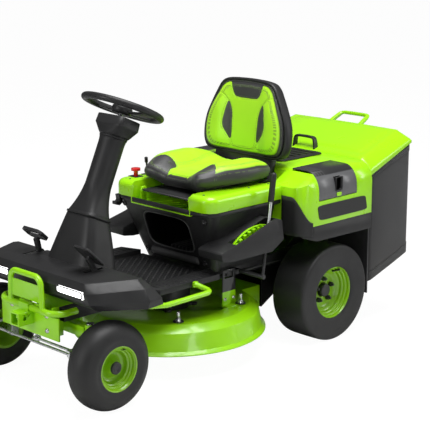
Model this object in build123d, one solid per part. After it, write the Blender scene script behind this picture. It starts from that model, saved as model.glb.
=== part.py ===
from build123d import *
import math
import os

# Riding lawn mower with a rear grass collector.  All sizes are in millimetres.
# +X is the machine's left side, +Y points to its rear and +Z points up.
# The origin lies on the ground, below the middle of the overall length and width.

# ---- Overall layout ----
HALF_LENGTH = 963.0
FRONT_AXLE_Y = -800.0
REAR_AXLE_Y = 360.0
DECK_CENTRE_Y = -200.0
CLEAR = 0.06

# ---- Wheels ----
FRONT_TYRE_R = 165.0
FRONT_TYRE_W = 128.0
FRONT_BEAD_R = 76.0
FRONT_WHEEL_X = 333.0
REAR_TYRE_R = 203.0
REAR_TYRE_W = 169.0
REAR_BEAD_R = 107.0
REAR_WHEEL_X = 315.5
RIM_WALL = 4.0
RIM_FLANGE = 3.5
RIM_LIP = 9.0
TYRE_FOOT = 9.0
HUB_HALF = 38.0
WHEEL_FACE = 10.0
STUD_COUNT = 5
STUD_CIRCLE_R = 48.0
STUD_R = 6.0

# ---- Frame ----
RAIL_IN = 130.0
RAIL_OUT = 160.0
RAIL_LOW = 300.0
RAIL_TOP = 350.0
RAIL_FRONT = -858.0
RAIL_REAR = 588.0
PLATE = 6.0

# ---- Front axle and steering linkage ----
AXLE_Z = 267.0
KINGPIN_X = 235.0
KINGPIN_R = 10.0
SPINDLE_R = 9.5
ROD_Z = 203.0
ROD_R = 5.2
TIE_PIN_Y = FRONT_AXLE_Y - 94
DRAG_PIN_Y = FRONT_AXLE_Y - 64
BALL_PIN_R = 5.0
GEAR_MODULE = 3.0
PINION_TEETH = 12
SECTOR_TEETH = 48
PRESSURE_ANGLE = 25.0
BACKLASH = 0.35
GEAR_GAP = GEAR_MODULE * (PINION_TEETH + SECTOR_TEETH) / 2
PINION_Y = FRONT_AXLE_Y + GEAR_GAP
SECTOR_Z = 222.0
SECTOR_THICK = 8.0

# ---- Steering column: its axis starts at the ball joint and leans to the rear ----
COLUMN_LEAN = 24.3
BALL_Z = 391.0
BALL_R = 12.0
STEER_SHAFT_R = 9.0
STEER_WHEEL_R = 149.0
STEER_RIM_R = 14.0
STEER_WHEEL_T = 682.5
COLUMN_T = 252.0
HEAD_T = 560.0

# ---- Bodywork ----
WALL = 4.0
COWL_LOW = 372.0
CONSOLE_TOP = 612.0
COVER_FRONT_TOP = 674.0
COVER_REAR_TOP = 722.0
COVER_HALF_W = 403.0
COVER_REAR_Y = 578.0
SHOULDER_IN = 336.0
SHOULDER_LOW = 640.0
SHOULDER_STEPS = 8
FENDER_CORNER = 66.0
TRAY_Z = 588.0
TRAY_HALF_W = 168.0
BAY_X = (256.0, 396.0)
BAY_Y = (246.0, 480.0)

# ---- Mower deck ----
DECK_R = 390.0
DECK_LOW = 100.0
DECK_TOP = 206.0
DECK_RECESS = 188.0
SHEET = 3.0
BLADE_Z = 120.0
BLADE_R = 360.0
SPINDLE_SHAFT_R = 12.0

# ---- Height lever ----
LEVER_X = 330.0
LEVER_Y = -1.0
LEVER_Z = 330.0
LEVER_LEAN = 8.2
LIFT_SHAFT_R = 9.0
LIFT_ARM = 84.0

# ---- Pedals ----
PEDAL_PIVOT_Y = -682.0
PEDAL_PIVOT_Z = 402.0
PEDAL_SLOPE = 43.5
BRAKE_PEDAL_X = 166.0
DRIVE_PEDAL_X = -188.0

# ---- Seat ----
SEAT_PIVOT_Y = -206.0
SEAT_PIVOT_Z = 641.0
BACK_LEAN = 6.0

# ---- Grass collector ----
BAG_FRONT_Y = 600.0
BAG_HALF_W = 376.0
BAG_HINGE_Y = 590.0
BAG_HINGE_Z = 713.0
LID_FRONT_Y = 585.0
LID_REAR_Y = 888.0


def box(x, y, z):
    """Block between pairs of low and high limits."""
    centre = Pos((x[0] + x[1]) / 2, (y[0] + y[1]) / 2, (z[0] + z[1]) / 2)
    return centre * Box(x[1] - x[0], y[1] - y[0], z[1] - z[0])


def rod(radius, start, end):
    """Round bar between two points."""
    start = Vector(*start)
    run = Vector(*end) - start
    base = Plane(origin=start, z_dir=run).location
    return base * Cylinder(radius, run.length, align=(Align.CENTER, Align.CENTER, Align.MIN))


def slab_x(points, x, corner=0.0):
    """Side outline of (Y, Z) points, drawn out along X between two limits."""
    sketch = Plane.YZ.offset(x[0]) * Polygon(*points, align=None)
    if corner:
        sketch = fillet(sketch.vertices(), corner)
    return extrude(sketch, x[1] - x[0], dir=(1, 0, 0))


def slab_y(points, y, corner=0.0):
    """Front outline of (X, Z) points, drawn out along Y between two limits."""
    plane = Plane(origin=(0, y[0], 0), x_dir=(1, 0, 0), z_dir=(0, -1, 0))
    sketch = plane * Polygon(*points, align=None)
    if corner:
        sketch = fillet(sketch.vertices(), corner)
    return extrude(sketch, y[1] - y[0], dir=(0, 1, 0))


def slab_z(points, z, corner=0.0):
    """Plan outline of (X, Y) points, drawn up along Z between two limits."""
    sketch = Plane.XY.offset(z[0]) * Polygon(*points, align=None)
    if corner:
        sketch = fillet(sketch.vertices(), corner)
    return extrude(sketch, z[1] - z[0], dir=(0, 0, 1))


def both(part):
    """A part and its mirror image across the machine's centre plane."""
    return part + mirror(part, about=Plane.YZ)


def other(part):
    """The same part for the machine's right side."""
    return mirror(part, about=Plane.YZ)


def doubled(points):
    """A half outline with X above zero, closed by its own mirror image."""
    return points + [(-x, second) for x, second in reversed(points)]


def bent_tube(points, radii, radius):
    """Round bar along straight runs that are joined by arcs."""
    path = FilletPolyline(*points, radius=radii)
    start = Plane(origin=path @ 0, z_dir=path % 0)
    return sweep(start * Circle(radius), path=path)


def rounded(width, depth, corner):
    return RectangleRounded(width, depth, corner)


def steer_plane(t):
    """Plane across the steering column, t above its ball joint along the axis."""
    lean = math.radians(COLUMN_LEAN)
    axis = (0, math.sin(lean), math.cos(lean))
    origin = (0, PINION_Y + axis[1] * t, BALL_Z + axis[2] * t)
    return Plane(origin=origin, x_dir=(1, 0, 0), z_dir=axis)


def column_rod(radius, start, end):
    place = steer_plane(start).location
    return place * Cylinder(radius, end - start, align=(Align.CENTER, Align.CENTER, Align.MIN))


# ---------------------------------------------------------------- wheels
def turned(profile, x, y, z):
    """Solid turned about a lateral axis through the given centre."""
    return Pos(x, y, z) * revolve(make_face(Polyline(*profile, close=True)), Axis.X)


def tyre_profile(outer, width, bead, tread, shoulder, inset):
    """Half of a tyre's outline, from the bead to the middle of the tread."""
    half = width / 2 - inset
    foot = half - TYRE_FOOT
    return [
        (foot, bead), (foot, bead + 10), (half, bead + 30),
        (half, outer - shoulder), (half - shoulder * 0.3, outer - shoulder * 0.35), (tread, outer),
    ]


def tyre(outer, width, bead, tread, shoulder, x, y):
    half = tyre_profile(outer, width, bead, tread, shoulder, 0)
    ring = turned(half + [(-u, r) for u, r in reversed(half)], x, y, outer)
    thick = 11.0
    hollow = tyre_profile(outer - thick, width, bead, tread - thick / 2, shoulder, thick)
    hollow[0] = (hollow[0][0], bead - 1)
    return ring - turned(hollow + [(-u, r) for u, r in reversed(hollow)], x, y, outer)


def rim_barrel(bead, width, x, y, z):
    """Pressed wheel's barrel with a flange at each edge."""
    half = width / 2 - TYRE_FOOT
    inner = bead - RIM_WALL
    edge = half + RIM_FLANGE
    outer = bead + RIM_LIP
    profile = [(-edge, inner), (edge, inner), (edge, outer), (half, outer), (half, bead)]
    return turned(profile + [(-half, bead), (-half, outer), (-edge, outer)], x, y, z)


def front_tyre():
    return tyre(FRONT_TYRE_R, FRONT_TYRE_W, FRONT_BEAD_R, 26, 62, FRONT_WHEEL_X, FRONT_AXLE_Y)


def rear_tyre():
    return tyre(REAR_TYRE_R, REAR_TYRE_W, REAR_BEAD_R, 64, 24, REAR_WHEEL_X, REAR_AXLE_Y)


def front_rim():
    """Front wheel: barrel, dished disc and a long hub that turns on the spindle."""
    place = (FRONT_WHEEL_X, FRONT_AXLE_Y, FRONT_TYRE_R)
    hub_r = 26
    bore = SPINDLE_R + CLEAR
    ring = FRONT_BEAD_R * 0.62
    edge = FRONT_BEAD_R - 2
    disc = turned([(-8, hub_r - 2), (6, ring), (6, edge), (10, edge), (10, ring), (-4, hub_r - 2)], *place)
    hub = turned([(-HUB_HALF, bore), (HUB_HALF, bore), (HUB_HALF, hub_r), (-HUB_HALF, hub_r)], *place)
    return rim_barrel(FRONT_BEAD_R, FRONT_TYRE_W, *place) + disc + hub


def stud_places():
    """Centres (Y, Z) of the rear wheel's studs."""
    places = []
    for turn in range(STUD_COUNT):
        angle = math.radians(360 / STUD_COUNT * turn + 90)
        places.append((REAR_AXLE_Y + STUD_CIRCLE_R * math.cos(angle), REAR_TYRE_R + STUD_CIRCLE_R * math.sin(angle)))
    return places


def rear_rim():
    """Driven wheel: its disc is bolted flat on the drive shaft's flange."""
    place = (REAR_WHEEL_X, REAR_AXLE_Y, REAR_TYRE_R)
    edge = REAR_BEAD_R - 2
    disc = turned([(WHEEL_FACE, 30), (WHEEL_FACE, 72), (24, 84), (24, edge), (28, edge), (28, 84), (14, 70), (14, 30)],
                  *place)
    for centre in stud_places():
        disc -= rod(STUD_R + 0.5, (REAR_WHEEL_X, *centre), (REAR_WHEEL_X + 30, *centre))
    return rim_barrel(REAR_BEAD_R, REAR_TYRE_W, *place) + disc


def drive_shaft():
    """Output shaft of a wheel motor, with the flange and the studs for the wheel."""
    y = REAR_AXLE_Y
    z = REAR_TYRE_R
    face = REAR_WHEEL_X + WHEEL_FACE
    shaft = rod(SPINDLE_SHAFT_R, (150, y, z), (face, y, z))
    shaft += rod(66, (face - 9, y, z), (face, y, z)) + rod(27, (face, y, z), (face + 22, y, z))
    for centre in stud_places():
        shaft += rod(STUD_R, (face - 4, *centre), (face + 20, *centre))
    return shaft


# ---------------------------------------------------------------- front axle
def front_axle():
    """Box beam that rocks on a bolt, with an upright sleeve at each end."""
    half = 22.0
    depth = 20.0
    y = (FRONT_AXLE_Y - half, FRONT_AXLE_Y + half)
    beam = box((-224, 224), y, (AXLE_Z - depth, AXLE_Z + depth))
    beam -= box((-190, 190), (y[0] + WALL, y[1] - WALL), (AXLE_Z - depth + WALL, AXLE_Z + depth - WALL))
    beam += rod(18, (0, y[0], AXLE_Z), (0, y[1], AXLE_Z))
    for side in (-1, 1):
        x = side * KINGPIN_X
        beam += rod(20, (x, FRONT_AXLE_Y, 241), (x, FRONT_AXLE_Y, 295))
    for side in (-1, 1):
        x = side * KINGPIN_X
        beam -= rod(KINGPIN_R + CLEAR, (x, FRONT_AXLE_Y, 230), (x, FRONT_AXLE_Y, 300))
    return beam - rod(KINGPIN_R + CLEAR, (0, y[0] - 1, AXLE_Z), (0, y[1] + 1, AXLE_Z))


def knuckle(with_drag_pin):
    """Left stub axle: kingpin, block, steering arm with its pins, and the wheel spindle."""
    x = KINGPIN_X
    y = FRONT_AXLE_Y
    z = FRONT_TYRE_R
    part = rod(KINGPIN_R, (x, y, 150), (x, y, 300))
    part += rod(15, (x, y, 295.5), (x, y, 300))
    part += rod(18, (x, y, 228), (x, y, 240.5))
    part += box((x - 15, x + 15), (y - 15, y + 15), (148, 230))
    part += rod(15, (x, y, z), (FRONT_WHEEL_X - 38.5, y, z))
    part += rod(SPINDLE_R, (x, y, z), (FRONT_WHEEL_X + 42, y, z))
    part += rod(14, (FRONT_WHEEL_X + 38.5, y, z), (FRONT_WHEEL_X + 42, y, z))
    part += box((x - 9, x + 9), (TIE_PIN_Y - 11, y), (213, 221))
    pins = [TIE_PIN_Y]
    if with_drag_pin:
        pins.append(DRAG_PIN_Y)
    for pin_y in pins:
        part += rod(BALL_PIN_R, (x, pin_y, ROD_Z - 11), (x, pin_y, 214))
        part += rod(8, (x, pin_y, ROD_Z - 12), (x, pin_y, ROD_Z - 7))
    return part


def rod_eye(x, y, inner, outer):
    ring = rod(outer, (x, y, ROD_Z - 6), (x, y, ROD_Z + 6))
    return ring - rod(inner, (x, y, ROD_Z - 7), (x, y, ROD_Z + 7))


def tie_rod():
    """Cross rod that joins the two steering arms."""
    eye = rod_eye(KINGPIN_X, TIE_PIN_Y, BALL_PIN_R + CLEAR, 12.5)
    return rod(ROD_R, (-KINGPIN_X + 9, TIE_PIN_Y, ROD_Z), (KINGPIN_X - 9, TIE_PIN_Y, ROD_Z)) + both(eye)


def drag_rod():
    """Rod from the sector's pin to the left steering arm; its inner eye is wide."""
    bar = rod(ROD_R, (14, DRAG_PIN_Y, ROD_Z), (KINGPIN_X - 9, DRAG_PIN_Y, ROD_Z))
    bar += rod_eye(KINGPIN_X, DRAG_PIN_Y, BALL_PIN_R + CLEAR, 12.5)
    return bar + rod_eye(0, DRAG_PIN_Y, 11.5, 16)


def tooth_flank(teeth, backlash):
    """Radius and half angle along one involute flank, from the root to the tip."""
    pitch_r = GEAR_MODULE * teeth / 2
    pressure = math.radians(PRESSURE_ANGLE)
    base_r = pitch_r * math.cos(pressure)
    root_r = pitch_r - 1.25 * GEAR_MODULE
    tip_r = pitch_r + GEAR_MODULE
    half = math.pi / (2 * teeth) - backlash / (2 * pitch_r) + math.tan(pressure) - pressure
    start = max(base_r, root_r)
    flank = []
    if root_r < base_r:
        flank.append((root_r, half))
    for step in range(7):
        radius = start + (tip_r - start) * step / 6
        turn = math.acos(min(1.0, base_r / radius))
        flank.append((radius, half - (math.tan(turn) - turn)))
    return flank


def gear_points(teeth, first, count, phase):
    """Outline of some teeth of a gear; phase is the first tooth's angle in radians."""
    flank = tooth_flank(teeth, BACKLASH)
    points = []
    for number in range(first, first + count):
        middle = phase + number * 2 * math.pi / teeth
        for radius, half in flank:
            points.append((radius * math.cos(middle - half), radius * math.sin(middle - half)))
        for radius, half in reversed(flank):
            points.append((radius * math.cos(middle + half), radius * math.sin(middle + half)))
    return points


def pinion_shaft():
    """Upright shaft with the steering pinion and the cup of the ball joint."""
    y = PINION_Y
    teeth = gear_points(PINION_TEETH, 0, PINION_TEETH, math.radians(-90))
    gear = Pos(0, y, 0) * slab_z(teeth, (SECTOR_Z - 2, SECTOR_Z + SECTOR_THICK + 2))
    shaft = gear + rod(STEER_SHAFT_R, (0, y, 214), (0, y, 378))
    cup = rod(18, (0, y, 370), (0, y, BALL_Z)) - Pos(0, y, BALL_Z) * Sphere(BALL_R + CLEAR)
    return shaft + cup


def steering_sector():
    """Toothed sector on an upright pin, with an arm that works the drag rod."""
    count = 12
    pitch = 2 * math.pi / SECTOR_TEETH
    phase = math.pi / 2 - pitch * (count - 1) / 2
    outline = [(0, 0)] + gear_points(SECTOR_TEETH, 0, count, phase)
    z = (SECTOR_Z, SECTOR_Z + SECTOR_THICK)
    plate = Pos(0, FRONT_AXLE_Y, 0) * slab_z(outline, z)
    plate += rod(20, (0, FRONT_AXLE_Y, z[0]), (0, FRONT_AXLE_Y, z[1]))
    plate += box((-12, 12), (DRAG_PIN_Y - 12, FRONT_AXLE_Y), z)
    plate -= rod(KINGPIN_R + CLEAR, (0, FRONT_AXLE_Y, z[0] - 1), (0, FRONT_AXLE_Y, z[1] + 1))
    plate += rod(BALL_PIN_R, (0, DRAG_PIN_Y, ROD_Z - 13), (0, DRAG_PIN_Y, z[0] + 1))
    return plate + rod(9, (0, DRAG_PIN_Y, ROD_Z - 16), (0, DRAG_PIN_Y, ROD_Z - 11))


# ---------------------------------------------------------------- steering column
def steering_shaft():
    ball = steer_plane(0).location * Sphere(BALL_R)
    return ball + column_rod(STEER_SHAFT_R, 4, STEER_WHEEL_T + 1)


def steering_wheel():
    """Rim, three spokes and the hub of the steering wheel."""
    place = steer_plane(STEER_WHEEL_T).location
    wheel = place * Torus(STEER_WHEEL_R, STEER_RIM_R)
    wheel += column_rod(38, STEER_WHEEL_T - 24, STEER_WHEEL_T + 4)
    for angle in (90, 205, 335):
        spoke = Pos(90, 0, -9) * Box(112, 30, 10)
        wheel += place * Rot(0, 0, angle) * spoke
    return wheel - column_rod(STEER_SHAFT_R + CLEAR, STEER_WHEEL_T - 30, STEER_WHEEL_T + 1.1)


def steering_head():
    """Instrument head below the steering wheel, flared from the column's neck."""
    low = steer_plane(HEAD_T) * Circle(45)
    mid = steer_plane(HEAD_T + 24) * Circle(50)
    head = loft([low, mid])
    flare = loft([steer_plane(HEAD_T + 24) * rounded(96, 88, 40), steer_plane(HEAD_T + 48) * rounded(152, 112, 14)])
    block = extrude(steer_plane(HEAD_T + 48) * rounded(152, 112, 14), 34)
    return head + flare + block - column_rod(STEER_SHAFT_R + CLEAR, HEAD_T - 1, HEAD_T + 84)


def column_cover():
    """Tube around the steering shaft, flared at its foot to a flange."""
    flange = extrude(steer_plane(COLUMN_T) * rounded(118, 102, 24), 7)
    flare = loft([steer_plane(COLUMN_T + 7) * rounded(110, 94, 30), steer_plane(COLUMN_T + 84) * rounded(80, 80, 39)])
    tube = column_rod(40, COLUMN_T + 84, HEAD_T)
    return flange + flare + tube - column_rod(34, COLUMN_T - 1, HEAD_T + 1)


def pedestal_block(inset):
    foot = Plane.XY.offset(357 - inset) * (Pos(0, -672) * rounded(252 - 2 * inset, 205 - 2 * inset, 26 - inset))
    top = steer_plane(COLUMN_T - inset) * rounded(114 - 2 * inset, 98 - 2 * inset, 24 - inset)
    return loft([foot, top])


def pedestal():
    """Hollow column foot; the pedal slots are cut in its sides."""
    return pedestal_block(0) - pedestal_block(WALL) - column_rod(34, COLUMN_T - 20, COLUMN_T + 1)


# ---------------------------------------------------------------- front end
def main_frame():
    """Two box rails with cross members; the lift shaft turns in their bores."""
    rail = box((RAIL_IN, RAIL_OUT), (RAIL_FRONT, RAIL_REAR), (RAIL_LOW, RAIL_TOP))
    rail -= box((RAIL_IN + 3, RAIL_OUT - 3), (RAIL_FRONT - 1, RAIL_REAR + 1), (RAIL_LOW + 3, RAIL_TOP - 3))
    frame = both(rail)
    for y in (-640, -420, 30):
        frame += box((-RAIL_IN, RAIL_IN), (y, y + 40), (RAIL_LOW, RAIL_TOP))
    return frame - rod(LIFT_SHAFT_R + CLEAR, (-170, LEVER_Y, LEVER_Z), (170, LEVER_Y, LEVER_Z))


def front_channel():
    """Folded plates that carry the axle bolt, the sector's pin and the hitch."""
    part = box((-170, 170), (-893, -887), (234, 320))
    part += box((-60, 60), (-893, -887), (320, 350))
    part += box((-60, 60), (-887, -690), (234, 240))
    part += box((-124, 124), (-756, -750), (234, RAIL_TOP))
    part += box((-30, 30), (-750, -690), (344, RAIL_TOP))
    for side in (-1, 1):
        x = sorted((side * 124, side * RAIL_IN))
        wall = box(x, (-887, -750), (240, RAIL_TOP))
        part += wall - box((x[0] - 1, x[1] + 1), (-840, -762), (239, 305))
    part += rod(KINGPIN_R, (0, -887, AXLE_Z), (0, -740, AXLE_Z))
    part += rod(16, (0, -750, AXLE_Z), (0, -738, AXLE_Z))
    part += rod(KINGPIN_R, (0, FRONT_AXLE_Y, 214), (0, FRONT_AXLE_Y, 236))
    part += rod(16, (0, FRONT_AXLE_Y, 214), (0, FRONT_AXLE_Y, SECTOR_Z - 0.5))
    part -= rod(STEER_SHAFT_R + CLEAR, (0, PINION_Y, 230), (0, PINION_Y, 360))
    return part


def hitch_receiver():
    """Square receiver tube with a cross-pin hole, and its strap over the bumper tube."""
    half = 25.4
    inner = 19.4
    mid = 298.0
    tube = box((-half, half), (-HALF_LENGTH, -893), (mid - half, mid + half))
    tube -= box((-inner, inner), (-HALF_LENGTH - 1, -890), (mid - inner, mid + inner))
    tube += box((-28, 28), (-921.5, -918.6), (mid + half - 3, 351.5))
    tube += box((-28, 28), (-921.5, -893), (348.6, 351.5))
    return tube - rod(8.25, (-40, -932, mid), (40, -932, mid))


def front_bumper():
    """Bent tube bumper with a hoop and a plate welded inside it."""
    r = 12.5
    y = -906.0
    z = 336.0
    run = [(-172.8, -812, z), (-172.8, -878, z), (-135, y, z), (135, y, z), (172.8, -878, z), (172.8, -812, z)]
    bar = bent_tube(run, 38, r)
    hoop = [(-94, y, z), (-88, y, 460), (88, y, 460), (94, y, z)]
    bar += bent_tube(hoop, 34, 11)
    return bar + slab_y(doubled([(85, 363), (82, 428)]), (y - 1.5, y + 1.5))


def cowl_section(z, front_x, front_y, corner_y, side_x, side_y, rear_y, inset):
    """Plan outline of the nose at one height."""
    half = [
        (front_x - inset, front_y + inset), (front_x + 26 - inset, corner_y + inset),
        (side_x - inset, side_y + inset), (side_x - 8 - inset, rear_y - inset),
    ]
    return Plane.XY.offset(z) * Polygon(*doubled(half), align=None)


def cowl_block(inset):
    drop = inset * 1.5
    return loft([
        cowl_section(COWL_LOW - drop, 316, -842, -816, 428, -694, -612, inset),
        cowl_section(400, 322, -872, -838, 434, -688, -624, inset),
        cowl_section(440 - inset, 312, -882, -846, 408, -690, -648, inset),
        cowl_section(470 - inset, 282, -862, -830, 368, -690, -670, inset),
    ], ruled=True)


def nose_cowl():
    """Moulded front cover, open below, with a gap for the column foot and the lamps."""
    shell = cowl_block(0) - cowl_block(WALL)
    shell -= pedestal_block(0)
    shell -= pedestal_block(0).moved(Location((0, 0, -30)))
    for side in (-1, 1):
        shell -= Pos(side * 221, -880, 428) * Box(154, 40, 32)
    for x in (BRAKE_PEDAL_X, DRIVE_PEDAL_X):
        shell -= box((x - 12, x + 12), (-772, -664), (425, 485))
    return shell


def headlamps():
    """Two white lamp lenses in the cowl's openings."""
    lens = Pos(221, -872, 428) * Box(150, 12, 28)
    lens = fillet(lens.edges().filter_by(Axis.Y), 12)
    return both(lens)


def footboard():
    """Floor plate with a raised running board along each side."""
    plate = slab_z(doubled([(200, -608), (200, -160)]), (RAIL_TOP, RAIL_TOP + PLATE))
    board = slab_z([(200, -560), (290, -510), (290, -200), (200, -170)], (RAIL_TOP + 2, 374))
    return plate + both(board) - slab_z(doubled([(128, -700), (128, -568)]), (340, 380))


def guard_bars():
    """Green side bars that keep a foot away from the deck."""
    run = [(372, -640, 358), (380, -560, 347), (380, -330, 350), (300, -336, 362)]
    return both(bent_tube(run, [40, 24], 10)) + both(box((290, 302), (-346, -326), (352, 372)))


# ---------------------------------------------------------------- console and top cover
def console_block(inset, top):
    low = Plane.XY.offset(RAIL_TOP - inset) * (Pos(0, 4) * rounded(400 - 2 * inset, 304 - 2 * inset, 34 - inset))
    high = Plane.XY.offset(top) * (Pos(0, -42) * rounded(552 - 2 * inset, 396 - 2 * inset, 46 - inset))
    return loft([low, high])


def console_shell():
    """Lower console with a front opening and a housing for the lever on each side."""
    shell = console_block(0, CONSOLE_TOP) - console_block(WALL, CONSOLE_TOP + WALL)
    side = slab_x([(-246, 440), (-250, 474), (-120, 506), (40, 560), (84, 552), (96, 470), (30, 432), (-190, 432)],
                  (222, 352), 9)
    hollow = slab_x([(-242, 425), (-246, 470), (-120, 502), (40, 556), (80, 548), (92, 470), (34, 425)],
                    (266, 348), 6)
    side -= console_block(WALL, CONSOLE_TOP + WALL)
    shell += both(side)
    shell -= both(hollow)
    shell -= slab_y(doubled([(128, 420), (128, 560)]), (-300, -120), 22)
    shell -= box((-TRAY_HALF_W - 6, TRAY_HALF_W + 6), (-300, 230), (TRAY_Z - 2, 620))
    shell -= box((-236, 236), (70, 160), (TRAY_Z - 2, 620))
    shell -= box((LEVER_X - 30, LEVER_X + 16), (-168, 64), (470, 570))
    return shell + rod(14, (-150, -146, 393), (150, -146, 393))


def lever_quadrant():
    """Notched plate that holds the height lever, on a bracket from the console."""
    outer = Pos(0, LEVER_Y, LEVER_Z)
    ring = outer * Rot(0, 90, 0) * (Cylinder(204, 5) - Cylinder(168, 6))
    keep = slab_x([(LEVER_Y, LEVER_Z), (LEVER_Y - 190, LEVER_Z + 175), (LEVER_Y, LEVER_Z + 240),
                   (LEVER_Y + 62, LEVER_Z + 230)], (-10, 10))
    plate = Pos(LEVER_X - 22, 0, 0) * (ring & keep)
    for notch in range(7):
        angle = math.radians(LEVER_LEAN - 45 / 6 * notch)
        y = LEVER_Y + 203 * math.sin(angle)
        z = LEVER_Z + 203 * math.cos(angle)
        plate -= Pos(LEVER_X - 22, y, z) * Rot(-math.degrees(angle), 0, 0) * Box(8, 12, 20)
    return plate + box((266, LEVER_X - 21), (-60, -40), (505, 511))


def cover_front_block(inset, low):
    plan = rounded(560 - 2 * inset, 446 - 2 * inset, 50 - inset)
    block = extrude(Plane.XY.offset(low) * (Pos(0, -22) * plan), COVER_FRONT_TOP - inset - low)
    rim_edges = block.faces().sort_by(Axis.Z)[-1].edges()
    return fillet(rim_edges, 24 - inset)


def shoulder_points(inset):
    """Quarter of an ellipse from the fender's side up to its flat top."""
    across_r = COVER_HALF_W - SHOULDER_IN - inset
    up_r = COVER_REAR_TOP - SHOULDER_LOW - inset
    points = []
    for step in range(SHOULDER_STEPS + 1):
        angle = math.pi / 2 * step / SHOULDER_STEPS
        points.append((SHOULDER_IN + across_r * math.cos(angle), SHOULDER_LOW + up_r * math.sin(angle)))
    return points


def fender_plan(inset, z):
    """Upright block over the rear body with both front corners rounded."""
    plan = rounded(2 * (COVER_HALF_W - inset), 500, FENDER_CORNER - inset)
    return extrude(Plane.XY.offset(z[0]) * (Pos(0, 158 + inset + 250) * plan), z[1] - z[0])


def cover_rear_block(inset, low):
    outline = doubled([(COVER_HALF_W - inset, low)] + shoulder_points(inset))
    block = slab_y(outline, (158 + inset, COVER_REAR_Y - inset))
    slope = slab_x([(150, 660 - inset), (150, 760), (262, 760), (262, COVER_REAR_TOP - inset)], (-420, 420))
    return (block & fender_plan(inset, (low, COVER_REAR_TOP + 10))) - slope


def seat_well(inset, low, high):
    half = [(TRAY_HALF_W + inset, -270), (TRAY_HALF_W + inset, 80), (228 + inset, 116), (228 + inset, 240 + inset)]
    return slab_z(doubled(half), (low, high))


def top_cover():
    """Green upper body: console rails, seat tray, rear fenders and both battery bays."""
    outer = cover_front_block(0, CONSOLE_TOP) + cover_rear_block(0, 508)
    well = seat_well(WALL, TRAY_Z, 760) & box((-300, 300), (-245, 250), (TRAY_Z, 760))
    inner = cover_front_block(WALL, CONSOLE_TOP - 20) + cover_rear_block(WALL, 480)
    shell = outer - (inner - well)
    shell += well & box((-300, 300), (-245, 250), (TRAY_Z, CONSOLE_TOP + 2))
    shell -= seat_well(0, TRAY_Z + WALL, 780)
    bay = box((BAY_X[0] - 4, COVER_HALF_W - WALL), (BAY_Y[0] - 4, BAY_Y[1] + 4), (540, COVER_REAR_TOP - 3))
    shell += both(bay) & cover_rear_block(0, 508)
    hollow = box((BAY_X[0] - 1, BAY_X[1]), (BAY_Y[0] - 1, BAY_Y[1] + 1), (544, 780))
    window = box((BAY_X[0] - 1, COVER_HALF_W + 5), (BAY_Y[0] - 1, BAY_Y[1] + 1), (606, 780))
    shell -= both(hollow) + both(window)
    ear = box((138, 142), (SEAT_PIVOT_Y - 14, SEAT_PIVOT_Y + 14), (TRAY_Z + 3, SEAT_PIVOT_Z + 14))
    shell += both(ear)
    shell += both(rod(15, (110, 90, TRAY_Z + 3), (110, 90, SEAT_PIVOT_Z - 0.5)))
    return shell - rod(6 + CLEAR, (-150, SEAT_PIVOT_Y, SEAT_PIVOT_Z), (150, SEAT_PIVOT_Y, SEAT_PIVOT_Z))


def fender_skirts():
    """Dark lower band of each rear fender."""
    side = slab_x([(150, 508), (176, 462), (240, 443), (COVER_REAR_Y, 440), (COVER_REAR_Y, 508)],
                  (COVER_HALF_W - FENDER_CORNER, COVER_HALF_W))
    band = fender_plan(0, (430, 508)) - fender_plan(5, (429, 509))
    return both(side & band)


def badge_plates():
    """Blank black plate on each fender."""
    side = slab_x([(232, 548), (222, 594), (512, 594), (498, 548)], (COVER_HALF_W, COVER_HALF_W + 2))
    return both(side)


def battery_packs():
    """Two battery packs in each bay."""
    packs = box((272, 372), (256, 358), (544, 688)) + box((272, 372), (368, 470), (544, 688))
    return both(packs)


def battery_cover():
    """Left battery cover: it follows the fender's corner and is hollow below."""
    def outline(inset, low):
        top = COVER_REAR_TOP - inset
        return [(BAY_X[0] + inset, low), (COVER_HALF_W - inset, low)] + shoulder_points(inset) + [
            (BAY_X[0] + inset, top)]
    block = slab_y(outline(0, 608), BAY_Y) - box((250, 300), (200, 500), (600, COVER_REAR_TOP - WALL))
    block -= slab_y(outline(WALL, 600), (BAY_Y[0] - 1, BAY_Y[1] + 1))
    return block - box((340, 410), (346, 386), (634, 690))


def cover_latch():
    """Left latch slider in the battery cover's grip recess."""
    return box((COVER_HALF_W, COVER_HALF_W + 4), (352, 380), (612, 627))


def rear_vent():
    """Slatted dark panel behind the seat."""
    panel = box((-150, 150), (300, 566), (COVER_REAR_TOP, COVER_REAR_TOP + 6))
    panel = fillet(panel.edges().filter_by(Axis.Z), 30)
    for number in range(6):
        y = 336 + 38 * number
        panel -= box((-118, 118), (y, y + 14), (COVER_REAR_TOP - 1, COVER_REAR_TOP + 7))
    return panel


def controller():
    """Motor controller with cooling fins, on the frame below the seat."""
    body = box((-95, 95), (-110, 20), (RAIL_TOP, RAIL_TOP + 40))
    for number in range(8):
        x = -84 + 22 * number
        body += box((x, x + 6), (-110, 20), (RAIL_TOP + 40, RAIL_TOP + 58))
    return body


# ---------------------------------------------------------------- rear end
def rear_plate():
    """Black plate behind the rear wheels, with the chute hole and the collector's lugs."""
    plate = box((-380, 380), (RAIL_REAR, RAIL_REAR + PLATE), (150, 640))
    plate -= box((-102, 102), (580, 600), (308, 452))
    for side in (-1, 1):
        x = side * 300
        lug = box((x - 5, x + 5), (RAIL_REAR - 4, RAIL_REAR + PLATE), (600, BAG_HINGE_Z))
        lug += rod(6, (x - 5, BAG_HINGE_Y, BAG_HINGE_Z), (x + 5, BAG_HINGE_Y, BAG_HINGE_Z))
        plate += lug
    return plate - rod(4 + CLEAR, (-320, BAG_HINGE_Y, BAG_HINGE_Z), (320, BAG_HINGE_Y, BAG_HINGE_Z))


def across(points, y):
    plane = Plane(origin=(0, y, 0), x_dir=(1, 0, 0), z_dir=(0, -1, 0))
    return plane * Polygon(*points, align=None)


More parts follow.
